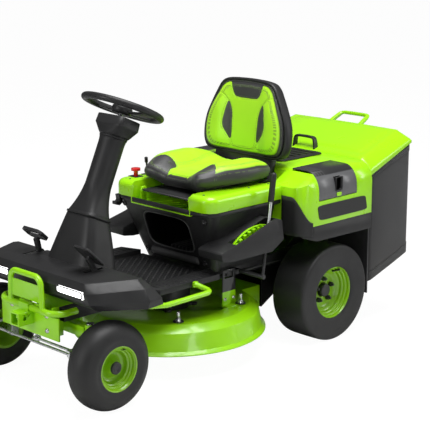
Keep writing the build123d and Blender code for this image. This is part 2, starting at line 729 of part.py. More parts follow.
def discharge_chute():
    """Square duct from the deck to the collector."""
    outer = loft([across(doubled([(112, 108), (112, 262)]), 224), across(doubled([(105, 305), (105, 455)]), RAIL_REAR)])
    inner = loft([across(doubled([(109, 110), (109, 258)]), 220), across(doubled([(102, 309), (102, 452)]), 592)])
    return outer - inner


def wheel_motors():
    """Two gear motors under the frame rails, one for each rear wheel."""
    y = REAR_AXLE_Y
    z = REAR_TYRE_R
    motor = rod(56, (120, y, z), (200, y, z)) + rod(72, (200, y, z), (222, y, z))
    motor += box((RAIL_IN, RAIL_OUT), (y - 40, y + 40), (z + 30, RAIL_LOW))
    motor -= rod(SPINDLE_SHAFT_R + CLEAR, (148, y, z), (230, y, z))
    return both(motor)


def lid_section(x, low, shoulder, top_x, top, y, inset):
    half = [(x - inset, low), (x - inset, shoulder), (top_x - inset, top - inset)]
    return across(doubled(half), y)


def bag_lid():
    """Green collector lid with a dump handle at the rear and a lifting handle in front."""
    outer = loft([lid_section(380, 650, 676, 330, 722, LID_FRONT_Y, 0),
                  lid_section(366, 757, 774, 290, 812, LID_REAR_Y, 0)])
    inner = loft([lid_section(380, 640, 676, 330, 722, LID_FRONT_Y + WALL, WALL),
                  lid_section(366, 747, 774, 290, 812, LID_REAR_Y - WALL, WALL)])
    lid = outer - inner
    for side in (-1, 1):
        x = side * 300
        lid -= box((x - 8, x + 8), (LID_FRONT_Y - 5, BAG_HINGE_Y + 16), (630, 740))
        lid += rod(4, (x - 14, BAG_HINGE_Y, BAG_HINGE_Z), (x + 14, BAG_HINGE_Y, BAG_HINGE_Z))
        lid += box((x + 8, x + 14), (LID_FRONT_Y + 1, BAG_HINGE_Y + 8), (705, 719))
        lid += box((x - 14, x - 8), (LID_FRONT_Y + 1, BAG_HINGE_Y + 8), (705, 719))
    r = 9.0
    loop = [(-80, 882, 800), (-70, HALF_LENGTH - r, 836), (70, HALF_LENGTH - r, 836), (80, 882, 800)]
    lid += bent_tube(loop, 16, r)
    grip = [(-57, 612, 724), (-55, 612, 776), (55, 612, 776), (57, 612, 724)]
    return lid + bent_tube(grip, 12, 8)


def grass_bag():
    """Fabric collector: a hollow body, open to the lid above and to the chute in front."""
    def outline(inset, rise):
        return [(BAG_FRONT_Y + inset, 184 + inset), (886 - inset, 276 + inset), (897 - inset, 353),
                (872 - inset, 700), (870 - inset, 744 + rise), (BAG_FRONT_Y + inset, 653 + rise)]
    bag = slab_x(outline(0, 0), (-BAG_HALF_W, BAG_HALF_W))
    bag -= slab_x(outline(5, 60), (-BAG_HALF_W + 5, BAG_HALF_W - 5))
    return bag - box((-100, 100), (BAG_FRONT_Y - 5, BAG_FRONT_Y + 10), (312, 448))


# ---------------------------------------------------------------- deck
def deck_profile(drop):
    return [
        (0, DECK_RECESS - drop), (228 - drop, DECK_RECESS - drop), (248 - drop, DECK_TOP - drop),
        (325 - drop, DECK_TOP - drop), (362 - drop, 182 - drop), (375 - drop, 114),
    ]


def mower_deck():
    """Pressed round deck with a rolled rim, a rear outlet and slotted lift straps."""
    ring = deck_profile(0) + [(DECK_R, 104), (DECK_R, DECK_LOW), (DECK_R - SHEET, DECK_LOW)]
    ring += [(DECK_R - SHEET, 101.5), (375 - SHEET, 111)] + list(reversed(deck_profile(SHEET)[:-1]))
    face = Plane.XZ * make_face(Polyline(*ring, close=True))
    deck = Pos(0, DECK_CENTRE_Y, 0) * revolve(face, Axis.Z)
    core = deck_profile(SHEET) + [(372, 90), (0, 90)]
    core = Pos(0, DECK_CENTRE_Y, 0) * revolve(Plane.XZ * make_face(Polyline(*core, close=True)), Axis.Z)
    duct = box((-108, 108), (60, 216), (112, 206)) - core
    deck += duct
    deck -= box((-105, 105), (60, 220), (115, 203)) - box((-200, 200), (0, 125), (180, 210))
    deck -= rod(SPINDLE_SHAFT_R + CLEAR, (0, DECK_CENTRE_Y, 150), (0, DECK_CENTRE_Y, 200))
    for y in (-30, -370):
        deck += both(rod(6, (237, y, 190), (237, y, 246)))
    strap = box((210, 214), (-108, -36), (200, 352)) - box((205, 220), (-97, -48), (317, 343))
    foot = box((196, 240), (-108, -36), (202, 208)) - box((190, 240), (-110, -30), (180, 206))
    return deck + both(strap) + both(foot)


def deck_motor():
    """Blade motor on the deck."""
    y = DECK_CENTRE_Y
    motor = rod(86, (0, y, DECK_RECESS), (0, y, 276)) + rod(66, (0, y, 276), (0, y, 288))
    for turn in range(4):
        angle = math.radians(90 * turn + 45)
        centre = (100 * math.cos(angle), y + 100 * math.sin(angle))
        motor += rod(14, (*centre, DECK_RECESS), (*centre, DECK_RECESS + 8))
        motor += rod(14, (centre[0] * 0.85, y + (centre[1] - y) * 0.85, DECK_RECESS),
                     (centre[0] * 0.85, y + (centre[1] - y) * 0.85, DECK_RECESS + 8))
    return motor - rod(SPINDLE_SHAFT_R + CLEAR, (0, y, DECK_RECESS - 1), (0, y, 250))


def blade():
    """Blade with raised tips, bolted on the motor's shaft."""
    y = DECK_CENTRE_Y
    bar = slab_z([(-BLADE_R, -30), (BLADE_R - 60, -30), (BLADE_R, 10), (BLADE_R, 30), (-BLADE_R + 60, 30),
                  (-BLADE_R, -10)], (BLADE_Z, BLADE_Z + 4))
    for side in (-1, 1):
        tip = Rot(side * 25, 0, 0) * Box(90, 26, 3.5)
        bar += Pos(side * (BLADE_R - 60), side * 34, BLADE_Z + 7) * tip
    bar = Pos(0, y, 0) * bar
    bar += rod(SPINDLE_SHAFT_R, (0, y, 108), (0, y, 246))
    return bar + rod(24, (0, y, 110), (0, y, BLADE_Z)) + rod(32, (0, y, BLADE_Z + 4), (0, y, 140))


def lift_shaft():
    """Cross shaft with two lift arms and the height lever's rod."""
    shaft = rod(LIFT_SHAFT_R, (-208, LEVER_Y, LEVER_Z), (LEVER_X + 8, LEVER_Y, LEVER_Z))
    for side in (-1, 1):
        x = sorted((side * 202, side * 208))
        shaft += box(x, (LEVER_Y - LIFT_ARM - 10, LEVER_Y), (LEVER_Z - 9, LEVER_Z + 9))
        y = LEVER_Y - LIFT_ARM
        shaft += rod(5, (x[0], y, LEVER_Z), (x[1], y, LEVER_Z))
        shaft += rod(5, (side * 205, y, LEVER_Z), (side * 219, y, LEVER_Z))
    return shaft + rod(6, (LEVER_X, LEVER_Y, LEVER_Z), lever_point(300))


def lever_point(length):
    lean = math.radians(LEVER_LEAN)
    return (LEVER_X, LEVER_Y + length * math.sin(lean), LEVER_Z + length * math.cos(lean))


def lever_grip():
    """Black hand grip on the lever's upper end."""
    return rod(12, lever_point(300), lever_point(404)) + Pos(*lever_point(404)) * Sphere(12)


# ---------------------------------------------------------------- seat
def seat_frame():
    """Steel seat pan, its pivot pins, and the uprights of the backrest."""
    pan = box((-134, 134), (SEAT_PIVOT_Y - 12, 170), (SEAT_PIVOT_Z, SEAT_PIVOT_Z + 5))
    for side in (-1, 1):
        pan += rod(6, (side * 110, SEAT_PIVOT_Y, SEAT_PIVOT_Z), (side * 149, SEAT_PIVOT_Y, SEAT_PIVOT_Z))
        x = sorted((side * 150, side * 166))
        arm = slab_x([(150, 641), (214, 641), (266, 790), (280, 900), (266, 900), (244, 790), (208, 665), (150, 660)], x)
        pan += arm
        pan += box(sorted((side * 130, side * 160)), (150, 200), (641, 646))
    back = slab_x([(214, 690), (222, 690), (252, 800), (244, 800)], (-152, 152))
    pan += back
    return pan - both(rod(15.5, (110, 90, SEAT_PIVOT_Z - 1), (110, 90, SEAT_PIVOT_Z)))


def seat_cushion():
    """Seat cushion, a plain block with its two front wings and a scooped top."""
    plan = doubled([(104, -128), (122, -186), (158, -188), (206, -110), (236, -10), (232, 120), (190, 196)])
    block = slab_z(plan, (COVER_FRONT_TOP + 6, 764))
    block += box((-128, 128), (-118, 148), (SEAT_PIVOT_Z + 5.3, COVER_FRONT_TOP + 6))
    scoop = slab_x([(-230, 722), (-60, 712), (60, 712), (150, 736), (150, 790), (-230, 790)], (-138, 138))
    return block - scoop


def back_plane(offset):
    """Plane that leans with the backrest; offset moves it to the rear."""
    lean = math.radians(BACK_LEAN)
    normal = (0, math.cos(lean), -math.sin(lean))
    origin = (0, 206 + offset * normal[1], 767 + offset * normal[2])
    return Plane(origin=origin, x_dir=(-1, 0, 0), z_dir=normal)


def back_slab(half, offset, depth):
    sketch = fillet(Polygon(*doubled(half), align=None).vertices(), 16)
    return extrude(back_plane(offset) * sketch, depth)


def backrest_shell():
    """Black moulded shell behind the backrest's cushion."""
    shell = back_slab([(176, 0), (212, 60), (214, 150), (176, 230), (146, 300), (96, 321)], 30, 40)
    return shell - seat_frame()


def backrest_cushion():
    """Backrest cushion, a plain padded slab."""
    return back_slab([(168, 8), (203, 62), (205, 148), (168, 226), (138, 292), (92, 312)], 0, 29.6)


# ---------------------------------------------------------------- controls
def pedal_arm(x, foot, tip):
    """Flat arm on its pivot bush; foot is half the bush's width, tip the arm's upper end (Y, Z)."""
    y = PEDAL_PIVOT_Y
    z = PEDAL_PIVOT_Z
    arm = slab_x([(y - 9, z - 4), (y + 9, z - 4), (tip[0] + 8, tip[1] - 4), (tip[0] - 4, tip[1] + 6),
                  (tip[0] - 14, tip[1] - 6)], (x - 6, x + 6))
    return arm + rod(10, (x - foot, y, z), (x + foot, y, z))


def drive_pedal():
    """Right pedal: an open loop on an arm that rises through the cowl."""
    x = DRIVE_PEDAL_X
    tilt = Pos(x, -716, 542) * Rot(-PEDAL_SLOPE, 0, 0)
    half = 58.0
    loop = fillet(Box(2 * half, 62, 12).edges().filter_by(Axis.Z), 20)
    loop -= fillet(Box(2 * half - 28, 34, 20).edges().filter_by(Axis.Z), 8)
    return pedal_arm(x, 20, (-708, 525)) + tilt * loop


def brake_pedal():
    """Left pedal: a ribbed plate on an arm that rises through the cowl."""
    x = BRAKE_PEDAL_X
    tilt = Pos(x, -743, 528) * Rot(-PEDAL_SLOPE, 0, 0)
    pad = fillet(Box(86, 110, 8).edges().filter_by(Axis.Z), 14)
    for number in range(7):
        pad += Pos(0, -42 + 14 * number, 5) * Box(70, 5, 4)
    return pedal_arm(x, 20, (-742, 520)) + tilt * pad


def pto_knob():
    """Red blade switch: a mushroom head on a round stem."""
    x = -240.0
    y = -158.0
    knob = rod(9, (x, y, COVER_FRONT_TOP + 1), (x, y, COVER_FRONT_TOP + 26))
    return knob + rod(19, (x, y, COVER_FRONT_TOP + 24), (x, y, COVER_FRONT_TOP + 34))


def travel_lever():
    """Thin black direction lever beside the seat, on a round cross knuckle."""
    x = -250.0
    y = -86.0
    base = COVER_FRONT_TOP + 8
    lever = rod(6, (x - 7, y, base), (x + 7, y, base)) + rod(4, (x, y, base), (x + 15, y - 18, base + 52))
    return lever + rod(7, (x + 14, y - 17, base + 44), (x + 18, y - 22, base + 64))


# ---------------------------------------------------------------- write every node
os.makedirs("parts", exist_ok=True)

NODES = {
    "main_frame": main_frame,
    "front_channel": front_channel,
    "hitch_receiver": hitch_receiver,
    "front_bumper": front_bumper,
    "nose_cowl": nose_cowl,
    "headlamps": headlamps,
    "pedestal": pedestal,
    "column_cover": column_cover,
    "steering_head": steering_head,
    "footboard": footboard,
    "guard_bars": guard_bars,
    "console_shell": console_shell,
    "lever_quadrant": lever_quadrant,
    "top_cover": top_cover,
    "fender_skirts": fender_skirts,
    "badge_plates": badge_plates,
    "battery_packs": battery_packs,
    "rear_vent": rear_vent,
    "rear_plate": rear_plate,
    "discharge_chute": discharge_chute,
    "wheel_motors": wheel_motors,
    "controller": controller,
    "battery_cover_left": battery_cover,
    "cover_latch_left": cover_latch,
    "steering_wheel": steering_wheel,
    "steering_shaft": steering_shaft,
    "pinion_shaft": pinion_shaft,
    "steering_sector": steering_sector,
    "tie_rod": tie_rod,
    "drag_rod": drag_rod,
    "front_axle": front_axle,
    "front_tyre_left": front_tyre,
    "front_rim_left": front_rim,
    "rear_tyre_left": rear_tyre,
    "rear_rim_left": rear_rim,
    "drive_shaft_left": drive_shaft,
    "seat_frame": seat_frame,
    "seat_cushion": seat_cushion,
    "backrest_shell": backrest_shell,
    "backrest_cushion": backrest_cushion,
    "mower_deck": mower_deck,
    "deck_motor": deck_motor,
    "blade": blade,
    "lift_shaft": lift_shaft,
    "lever_grip": lever_grip,
    "drive_pedal": drive_pedal,
    "brake_pedal": brake_pedal,
    "pto_knob": pto_knob,
    "travel_lever": travel_lever,
    "bag_lid": bag_lid,
    "grass_bag": grass_bag,
}

for node_name, build in NODES.items():
    solid = build()
    export_step(solid, "parts/" + node_name + ".step")
    if node_name.endswith("_left"):
        export_step(other(solid), "parts/" + node_name.replace("_left", "_right") + ".step")

export_step(knuckle(True), "parts/knuckle_left.step")
export_step(other(knuckle(False)), "parts/knuckle_right.step")
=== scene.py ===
import math

import bpy
import bmesh
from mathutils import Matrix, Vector, noise


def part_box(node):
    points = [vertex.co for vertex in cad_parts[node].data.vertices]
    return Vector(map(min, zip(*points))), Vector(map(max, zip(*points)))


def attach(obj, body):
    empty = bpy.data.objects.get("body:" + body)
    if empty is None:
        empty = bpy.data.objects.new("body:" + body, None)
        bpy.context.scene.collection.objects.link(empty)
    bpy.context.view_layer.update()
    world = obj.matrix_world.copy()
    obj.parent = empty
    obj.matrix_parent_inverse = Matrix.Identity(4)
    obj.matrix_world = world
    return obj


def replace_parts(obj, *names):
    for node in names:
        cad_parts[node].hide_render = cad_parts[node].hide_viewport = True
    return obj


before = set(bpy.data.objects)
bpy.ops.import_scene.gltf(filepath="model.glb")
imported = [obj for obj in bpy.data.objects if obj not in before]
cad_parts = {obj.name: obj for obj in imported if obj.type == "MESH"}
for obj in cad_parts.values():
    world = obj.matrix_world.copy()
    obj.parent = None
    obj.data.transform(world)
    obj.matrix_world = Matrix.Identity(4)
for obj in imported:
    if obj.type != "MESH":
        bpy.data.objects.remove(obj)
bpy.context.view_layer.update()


# ---- Studio ----
# A pale sweep of floor, one large soft light overhead, a key light from the machine's front right and
# a weaker fill on its left side; the camera stands off the front left corner, a little above the seat.
def stage_light(name, place, aim, power, size):
    lamp = bpy.data.lights.new(name, "AREA")
    lamp.energy = power
    lamp.shape = "RECTANGLE"
    lamp.size = size[0]
    lamp.size_y = size[1]
    holder = bpy.data.objects.new(name, lamp)
    holder.location = place
    holder.rotation_euler = (Vector(aim) - Vector(place)).to_track_quat("-Z", "Y").to_euler()
    bpy.context.scene.collection.objects.link(holder)


camera = bpy.data.objects.new("camera", bpy.data.cameras.new("camera"))
camera.location = (3.8215, -3.708, 1.8027)
camera.rotation_euler = (Vector((0.2642, -0.2, 0.6033)) - camera.location).to_track_quat("-Z", "Y").to_euler()
camera.data.lens = 112.4
camera.data.sensor_width = 36.0
bpy.context.scene.collection.objects.link(camera)
bpy.context.scene.camera = camera

MIDDLE = (0.0, 0.0, 0.45)
stage_light("overhead", (0.6, -0.1, 3.6), MIDDLE, 150, (2.2, 2.2))
stage_light("key", (-0.6, -4.6, 2.0), MIDDLE, 60, (1.0, 1.6))
stage_light("rim", (3.4, 3.2, 1.9), MIDDLE, 45, (0.9, 2.2))
stage_light("side", (4.8, -1.6, 0.9), MIDDLE, 22, (0.7, 1.6))


def fill(tree, node, values):
    """Sets a node's inputs: another node's output is linked, any other value is set."""
    for key, value in values.items():
        if isinstance(value, bpy.types.NodeSocket):
            tree.links.new(value, node.inputs[key])
        else:
            node.inputs[key].default_value = value
    return node


def add_node(tree, kind, values=None, **settings):
    node = tree.nodes.new(kind)
    for key, value in settings.items():
        setattr(node, key, value)
    return fill(tree, node, values or {})


def camera_share(tree, plain, seen_white, share=None):
    """Shader that turns white where the camera sees it directly."""
    seen = add_node(tree, "ShaderNodeLightPath").outputs["Is Camera Ray"]
    if share is not None:
        seen = add_node(tree, "ShaderNodeMath", {0: seen, 1: share}, operation="MULTIPLY").outputs[0]
    return add_node(tree, "ShaderNodeMixShader", {0: seen, 1: plain, 2: seen_white}).outputs[0]


WHITE = (1.0, 1.0, 1.0, 1.0)
sky = bpy.data.worlds.new("studio")
sky.use_nodes = True
tree = sky.node_tree
around = fill(tree, tree.nodes["Background"], {"Color": WHITE, "Strength": 0.16})
behind = add_node(tree, "ShaderNodeBackground", {"Color": WHITE})
fill(tree, tree.nodes["World Output"], {"Surface": camera_share(tree, around.outputs[0], behind.outputs[0])})
bpy.context.scene.world = sky
bpy.context.scene.view_settings.view_transform = "Standard"


def new_material(name, values):
    """A material with constants on its Principled shader; returns it, its node tree and the shader."""
    material = bpy.data.materials.new(name)
    material.use_nodes = True
    tree = material.node_tree
    return material, tree, fill(tree, tree.nodes["Principled BSDF"], values)


FLOOR_REACH = 30
floor_mesh = bpy.data.meshes.new("floor")
floor_mesh.from_pydata([(x * FLOOR_REACH, y * FLOOR_REACH, 0) for x, y in ((-1, -1), (1, -1), (1, 1), (-1, 1))],
                       [], [(0, 1, 2, 3)])
floor = bpy.data.objects.new("floor", floor_mesh)
bpy.context.scene.collection.objects.link(floor)
floor_paint, tree, paper = new_material("floor_paint", {"Base Color": (0.72, 0.72, 0.72, 1.0),
                                                        "Roughness": 0.9})
glow = add_node(tree, "ShaderNodeEmission", {"Color": WHITE, "Strength": 1.12})
fill(tree, tree.nodes["Material Output"], {"Surface": camera_share(tree, paper.outputs[0], glow.outputs[0],
                                                                   0.86)})
floor_mesh.materials.append(floor_paint)


# ---- Painted and moulded CAD parts ----
# Lime powder coat on steel, lime gloss mouldings, charcoal grained mouldings, black steel and zinc.
# Each finish has two close tones, a fine grain and dust near the ground, from two shared effects.
def effect_group(name, inputs, outputs):
    """A shader node group with its sockets made; returns the tree with its two end nodes."""
    tree = bpy.data.node_groups.new(name, "ShaderNodeTree")
    for label, kind, value in inputs:
        tree.interface.new_socket(label, in_out="INPUT", socket_type=kind).default_value = value
    for label, kind in outputs:
        tree.interface.new_socket(label, in_out="OUTPUT", socket_type=kind)
    return tree, tree.nodes.new("NodeGroupInput"), tree.nodes.new("NodeGroupOutput")


def worked(tree, operation, *values):
    """Output of a Math node on numbers or other outputs."""
    return add_node(tree, "ShaderNodeMath", dict(enumerate(values)), operation=operation).outputs[0]


def ranged(tree, value, low, high, start=0.0, end=1.0):
    """Output that goes from start to end as a value goes from low to high."""
    return add_node(tree, "ShaderNodeMapRange", {"Value": value, "From Min": low, "From Max": high,
                                                 "To Min": start, "To Max": end}).outputs[0]


def mixed(tree, factor, first, second, **settings):
    """Colour between two, which are colours or other outputs."""
    ends = [(*colour, 1) if isinstance(colour, tuple) else colour for colour in (first, second)]
    return add_node(tree, "ShaderNodeMix", {0: factor, 6: ends[0], 7: ends[1]}, data_type="RGBA",
                    **settings).outputs[2]


def bumped(tree, height, distance, strength=1.0, **normal):
    return add_node(tree, "ShaderNodeBump", {"Height": height, "Distance": distance, "Strength": strength,
                                             **normal}).outputs["Normal"]


def object_spot(tree):
    return add_node(tree, "ShaderNodeTexCoord").outputs["Object"]


COLOUR = "NodeSocketColor"
NUMBER = "NodeSocketFloat"
MOULDED_GRAIN, ends, result = effect_group("moulded_grain", [("Scale", NUMBER, 900.0),
                                                             ("Soft Scale", NUMBER, 12.0)],
                                           [("Height", NUMBER), ("Tone", NUMBER)])
spot = object_spot(MOULDED_GRAIN)
fine = add_node(MOULDED_GRAIN, "ShaderNodeTexNoise", {"Vector": spot, "Scale": ends.outputs["Scale"],
                                                      "Detail": 2.0, "Roughness": 0.6})
slow = add_node(MOULDED_GRAIN, "ShaderNodeTexNoise", {"Vector": spot, "Scale": ends.outputs["Soft Scale"],
                                                      "Detail": 3.0})
fill(MOULDED_GRAIN, result, {"Height": fine.outputs[0], "Tone": slow.outputs[0]})

GROUND_DUST, ends, result = effect_group(
    "ground_dust", [("Colour", COLOUR, (0.1, 0.1, 0.1, 1)), ("Dust", COLOUR, (0.3, 0.27, 0.2, 1)),
                    ("Top", NUMBER, 0.25), ("Amount", NUMBER, 0.2)], [("Colour", COLOUR)])
spot = object_spot(GROUND_DUST)
blotch = add_node(GROUND_DUST, "ShaderNodeTexNoise", {"Vector": spot, "Scale": 18.0, "Detail": 6.0,
                                                      "Roughness": 0.7})
height = add_node(GROUND_DUST, "ShaderNodeSeparateXYZ", {0: spot}).outputs["Z"]
fall = ranged(GROUND_DUST, height, 0.0, ends.outputs["Top"], 1.0, 0.0)
share = worked(GROUND_DUST, "MULTIPLY", worked(GROUND_DUST, "MULTIPLY", fall, blotch.outputs[0]),
               ends.outputs["Amount"])
fill(GROUND_DUST, result, {"Colour": mixed(GROUND_DUST, share, ends.outputs["Colour"], ends.outputs["Dust"])})


def dusty(tree, colour, **values):
    return add_node(tree, "ShaderNodeGroup", {"Colour": colour, **values}, node_tree=GROUND_DUST).outputs[0]


def finish(name, colour, second, rough, spread, grain, bump, soft=10.0, dust=0.0, metallic=0.0, coat=0.0):
    """A finish: two close tones, a range of roughness, a fine grain as bump and dust low down."""
    material, tree, shader = new_material(name, {"Metallic": metallic, "Coat Weight": coat,
                                                 "Coat Roughness": 0.08})
    texture = add_node(tree, "ShaderNodeGroup", {"Scale": grain, "Soft Scale": soft}, node_tree=MOULDED_GRAIN)
    tone = texture.outputs["Tone"]
    fill(tree, shader, {"Base Color": dusty(tree, mixed(tree, tone, colour, second), Amount=dust),
                        "Roughness": ranged(tree, tone, 0.3, 0.7, rough, rough + spread),
                        "Normal": bumped(tree, texture.outputs["Height"], bump)})
    return material


def dress(node, material, bevel=0.0012, angle=32.0):
    """Gives a CAD node its finish and softly rounded edges."""
    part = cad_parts[node]
    part.data.materials.clear()
    part.data.materials.append(material)
    weld = part.modifiers.new("weld", "WELD")
    weld.merge_threshold = 0.00003
    if bevel:
        soften = part.modifiers.new("edges", "BEVEL")
        soften.width = bevel
        soften.segments = 2
        soften.limit_method = "ANGLE"
        soften.angle_limit = math.radians(angle)
        soften.harden_normals = True
    for face in part.data.polygons:
        face.use_smooth = True


LIME = (0.36, 0.8, 0.002)
LIME_DEEP = (0.33, 0.75, 0.002)
lime_gloss = finish("lime_moulding", LIME, LIME_DEEP, 0.26, 0.06, 300.0, 0.00001, coat=0.25)
lime_paint = finish("lime_powder_coat", LIME_DEEP, (0.3, 0.69, 0.002), 0.27, 0.08, 420.0, 0.00004, dust=0.1,
                    coat=0.3)
charcoal = finish("charcoal_moulding", (0.011, 0.011, 0.0115), (0.017, 0.017, 0.0175), 0.42, 0.12, 1100.0,
                  0.00012, dust=0.05)
charcoal.node_tree.nodes["Principled BSDF"].inputs["Specular IOR Level"].default_value = 0.38
black_steel = finish("black_steel", (0.018, 0.018, 0.019), (0.026, 0.026, 0.027), 0.34, 0.14, 600.0, 0.00006,
                     dust=0.15)
zinc = finish("zinc_plate", (0.6, 0.61, 0.62), (0.72, 0.73, 0.74), 0.22, 0.16, 500.0, 0.00004, soft=60.0,
              metallic=1.0)
red_gloss = finish("red_knob", (0.75, 0.012, 0.012), (0.62, 0.008, 0.008), 0.2, 0.08, 500.0, 0.00002, coat=0.5)

for node in ("front_channel", "hitch_receiver", "front_bumper", "guard_bars", "front_axle"):
    dress(node, lime_paint)
for node in ("top_cover", "cover_latch_left", "cover_latch_right"):
    dress(node, lime_gloss, 0.003)
for node in ("nose_cowl", "console_shell", "footboard", "fender_skirts", "rear_vent", "discharge_chute",
             "travel_lever", "lever_grip"):
    dress(node, charcoal, 0.003)
for node in ("main_frame", "rear_plate", "wheel_motors", "deck_motor", "seat_frame", "drive_pedal",
             "brake_pedal", "drive_shaft_left", "drive_shaft_right", "controller"):
    dress(node, black_steel)
for node in ("steering_shaft", "pinion_shaft", "steering_sector", "tie_rod", "drag_rod", "knuckle_left",
             "knuckle_right", "blade"):
    dress(node, zinc, 0.0006)
dress("battery_packs", charcoal)
dress("pto_knob", red_gloss, 0.0015)
lamp_white = finish("lamp_lens", (0.95, 0.96, 1.0), (1.0, 1.0, 1.0), 0.15, 0.05, 200.0, 0.00002, coat=0.5)
fill(lamp_white.node_tree, lamp_white.node_tree.nodes["Principled BSDF"], {"Emission Color": WHITE,
                                                                           "Emission Strength": 3.0})
dress("headlamps", lamp_white, 0.002)

# ---- Tyres ----
# Smooth turf tyres: the front pair has a fully round section, the rear pair a flat tread with square
# shoulders.  Each is one turned rubber ring, thicker at the bead.
def mesh_piece(name, points, faces, material, body="chassis"):
    """A mesh piece of its own that rides a body and takes the finish it is given."""
    mesh = bpy.data.meshes.new(name)
    mesh.from_pydata([tuple(point) for point in points], [], faces)
    mesh.validate()
    mesh.materials.append(material)
    for face in mesh.polygons:
        face.use_smooth = True
    piece = bpy.data.objects.new(name, mesh)
    bpy.context.scene.collection.objects.link(piece)
    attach(piece, body)
    return piece


def grid_faces(rows, count, closed_path=False, open_ring=False, start=0):
    """Four-sided faces between equal rows of points."""
    faces = []
    for row in range(rows if closed_path else rows - 1):
        a = start + row * count
        b = start + (row + 1) % rows * count
        for turn in range(count - 1 if open_ring else count):
            following = (turn + 1) % count
            faces.append((a + turn, a + following, b + following, b + turn))
    return faces


def ring_shell(name, rings, material, body="chassis", caps=0, closed_path=False,
               open_ring=False):
    """Skin over equal rings of points, with the first end capped, or both."""
    count = len(rings[0])
    faces = grid_faces(len(rings), count, closed_path, open_ring)
    if caps > 0:
        faces.append(tuple(reversed(range(count))))
    if caps > 1:
        faces.append(tuple(range((len(rings) - 1) * count, len(rings) * count)))
    return mesh_piece(name, [point for ring in rings for point in ring], faces, material, body)


def even_curve(corners, steps, closed=False):
    """Points along a smooth curve that passes through the corners."""
    count = len(corners)
    points = []
    spans = count if closed else count - 1
    for span in range(spans):
        if closed:
            four = [Vector(corners[(span + shift) % count]) for shift in (-1, 0, 1, 2)]
        else:
            four = [Vector(corners[min(max(span + shift, 0), count - 1)]) for shift in (-1, 0, 1, 2)]
        for step in range(steps):
            t = step / steps
            points.append(0.5 * (2 * four[1] + (four[2] - four[0]) * t
                                 + (2 * four[0] - 5 * four[1] + 4 * four[2] - four[3]) * t * t
                                 + (3 * four[1] - four[0] - 3 * four[2] + four[3]) * t ** 3))
    if not closed:
        points.append(Vector(corners[-1]))
    return points


def circle(turn, count):
    angle = 2 * math.pi * turn / count
    return math.cos(angle), math.sin(angle)


def turned_ring(name, profile, centre, side, material, body, count=96):
    """A closed (across, radius) outline turned about the lateral axis through a centre."""
    rings = []
    for c, s in (circle(turn, count) for turn in range(count)):
        rings.append([centre + Vector((side * across, radius * c, radius * s))
                      for across, radius in profile[::-side]])
    return ring_shell(name, rings, material, body, closed_path=True)


def centre_of(node):
    low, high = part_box(node)
    return (low + high) / 2


tyre_rubber = finish("tyre_rubber", (0.006, 0.006, 0.0062), (0.009, 0.009, 0.0093), 0.5, 0.14, 1500.0, 0.00012,
                     dust=0.03)
FRONT_TYRE = [(0.055, 0.0765), (0.058, 0.081), (0.0605, 0.087), (0.0615, 0.098), (0.0635, 0.112),
              (0.062, 0.124), (0.056, 0.138), (0.046, 0.15), (0.033, 0.1585), (0.017, 0.1635), (0.0, 0.165)]
REAR_TYRE = [(0.0755, 0.1075), (0.0785, 0.112), (0.081, 0.12), (0.0828, 0.14), (0.0842, 0.16),
             (0.0845, 0.184), (0.0828, 0.194), (0.0775, 0.1995), (0.066, 0.2018), (0.04, 0.2026), (0.0, 0.203)]


def tyre_outline(half, bead):
    """Both side walls of a tyre and the inner face between its beads."""
    outer = even_curve([(u, r, 0) for u, r in half], 5)
    ring = [(p.x, p.y) for p in outer] + [(-p.x, p.y) for p in reversed(outer[:-1])]
    foot = half[0][0]
    return ring + [(-foot + 0.012, bead + 0.001), (-foot + 0.014, bead + 0.02), (foot - 0.014, bead + 0.02),
                   (foot - 0.012, bead + 0.001)]


for end, half, bead in (("front", FRONT_TYRE, 0.076), ("rear", REAR_TYRE, 0.107)):
    for side_name, side in (("left", 1), ("right", -1)):
        node = f"{end}_tyre_{side_name}"
        tyre = turned_ring(f"{end}_{side_name}_tyre_rubber", tyre_outline(half, bead), centre_of(node), side,
                           tyre_rubber, f"{end}_wheel_{side_name}")
        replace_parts(tyre, node)

# ---- Wheel rims ----
# Pressed steel halves in lime paint: a rolled lip, two bead steps, a drop centre and a dished disc.  The
# front pair has a hub with a black push-on cap; the rear pair is held by five black nuts on studs.
FRONT_RIM = [(0.0585, 0.085), (0.06, 0.0835), (0.0592, 0.08), (0.055, 0.0775), (0.05, 0.0745),
             (0.042, 0.0742), (0.04, 0.069), (0.033, 0.0675), (0.03, 0.061), (0.02, 0.06),
             (0.012, 0.056), (0.008, 0.044), (0.016, 0.033), (0.03, 0.027), (0.038, 0.024)]
REAR_RIM = [(0.0765, 0.116), (0.078, 0.1145), (0.077, 0.1105), (0.072, 0.108), (0.066, 0.105),
            (0.056, 0.1045), (0.054, 0.0985), (0.044, 0.097), (0.041, 0.091), (0.03, 0.0895),
            (0.027, 0.084), (0.016, 0.072), (0.0145, 0.06), (0.0145, 0.03)]


def rim_outline(half, hub):
    """The pressed face from the lip to the hub, and the plain barrel behind it."""
    face = [(p.x, p.y) for p in even_curve([(u, r, 0) for u, r in half], 3)]
    lip_u, lip_r = half[0]
    back = [(face[-1][0] - 0.004, hub), (-0.012, 0.05), (-0.012, half[4][1] - 0.012),
            (-lip_u, half[4][1] - 0.004), (-lip_u - 0.001, lip_r), (-lip_u + 0.002, lip_r),
            (-lip_u + 0.002, half[4][1]), (lip_u - 0.003, half[4][1] + 0.002)]
    return face + back


rim_paint = finish("rim_paint", (0.25, 0.53, 0.002), (0.21, 0.46, 0.002), 0.26, 0.1, 420.0, 0.00004, dust=0.12,
                   coat=0.3)
cap_black = finish("cap_black", (0.012, 0.012, 0.013), (0.02, 0.02, 0.021), 0.35, 0.1, 800.0, 0.00008)


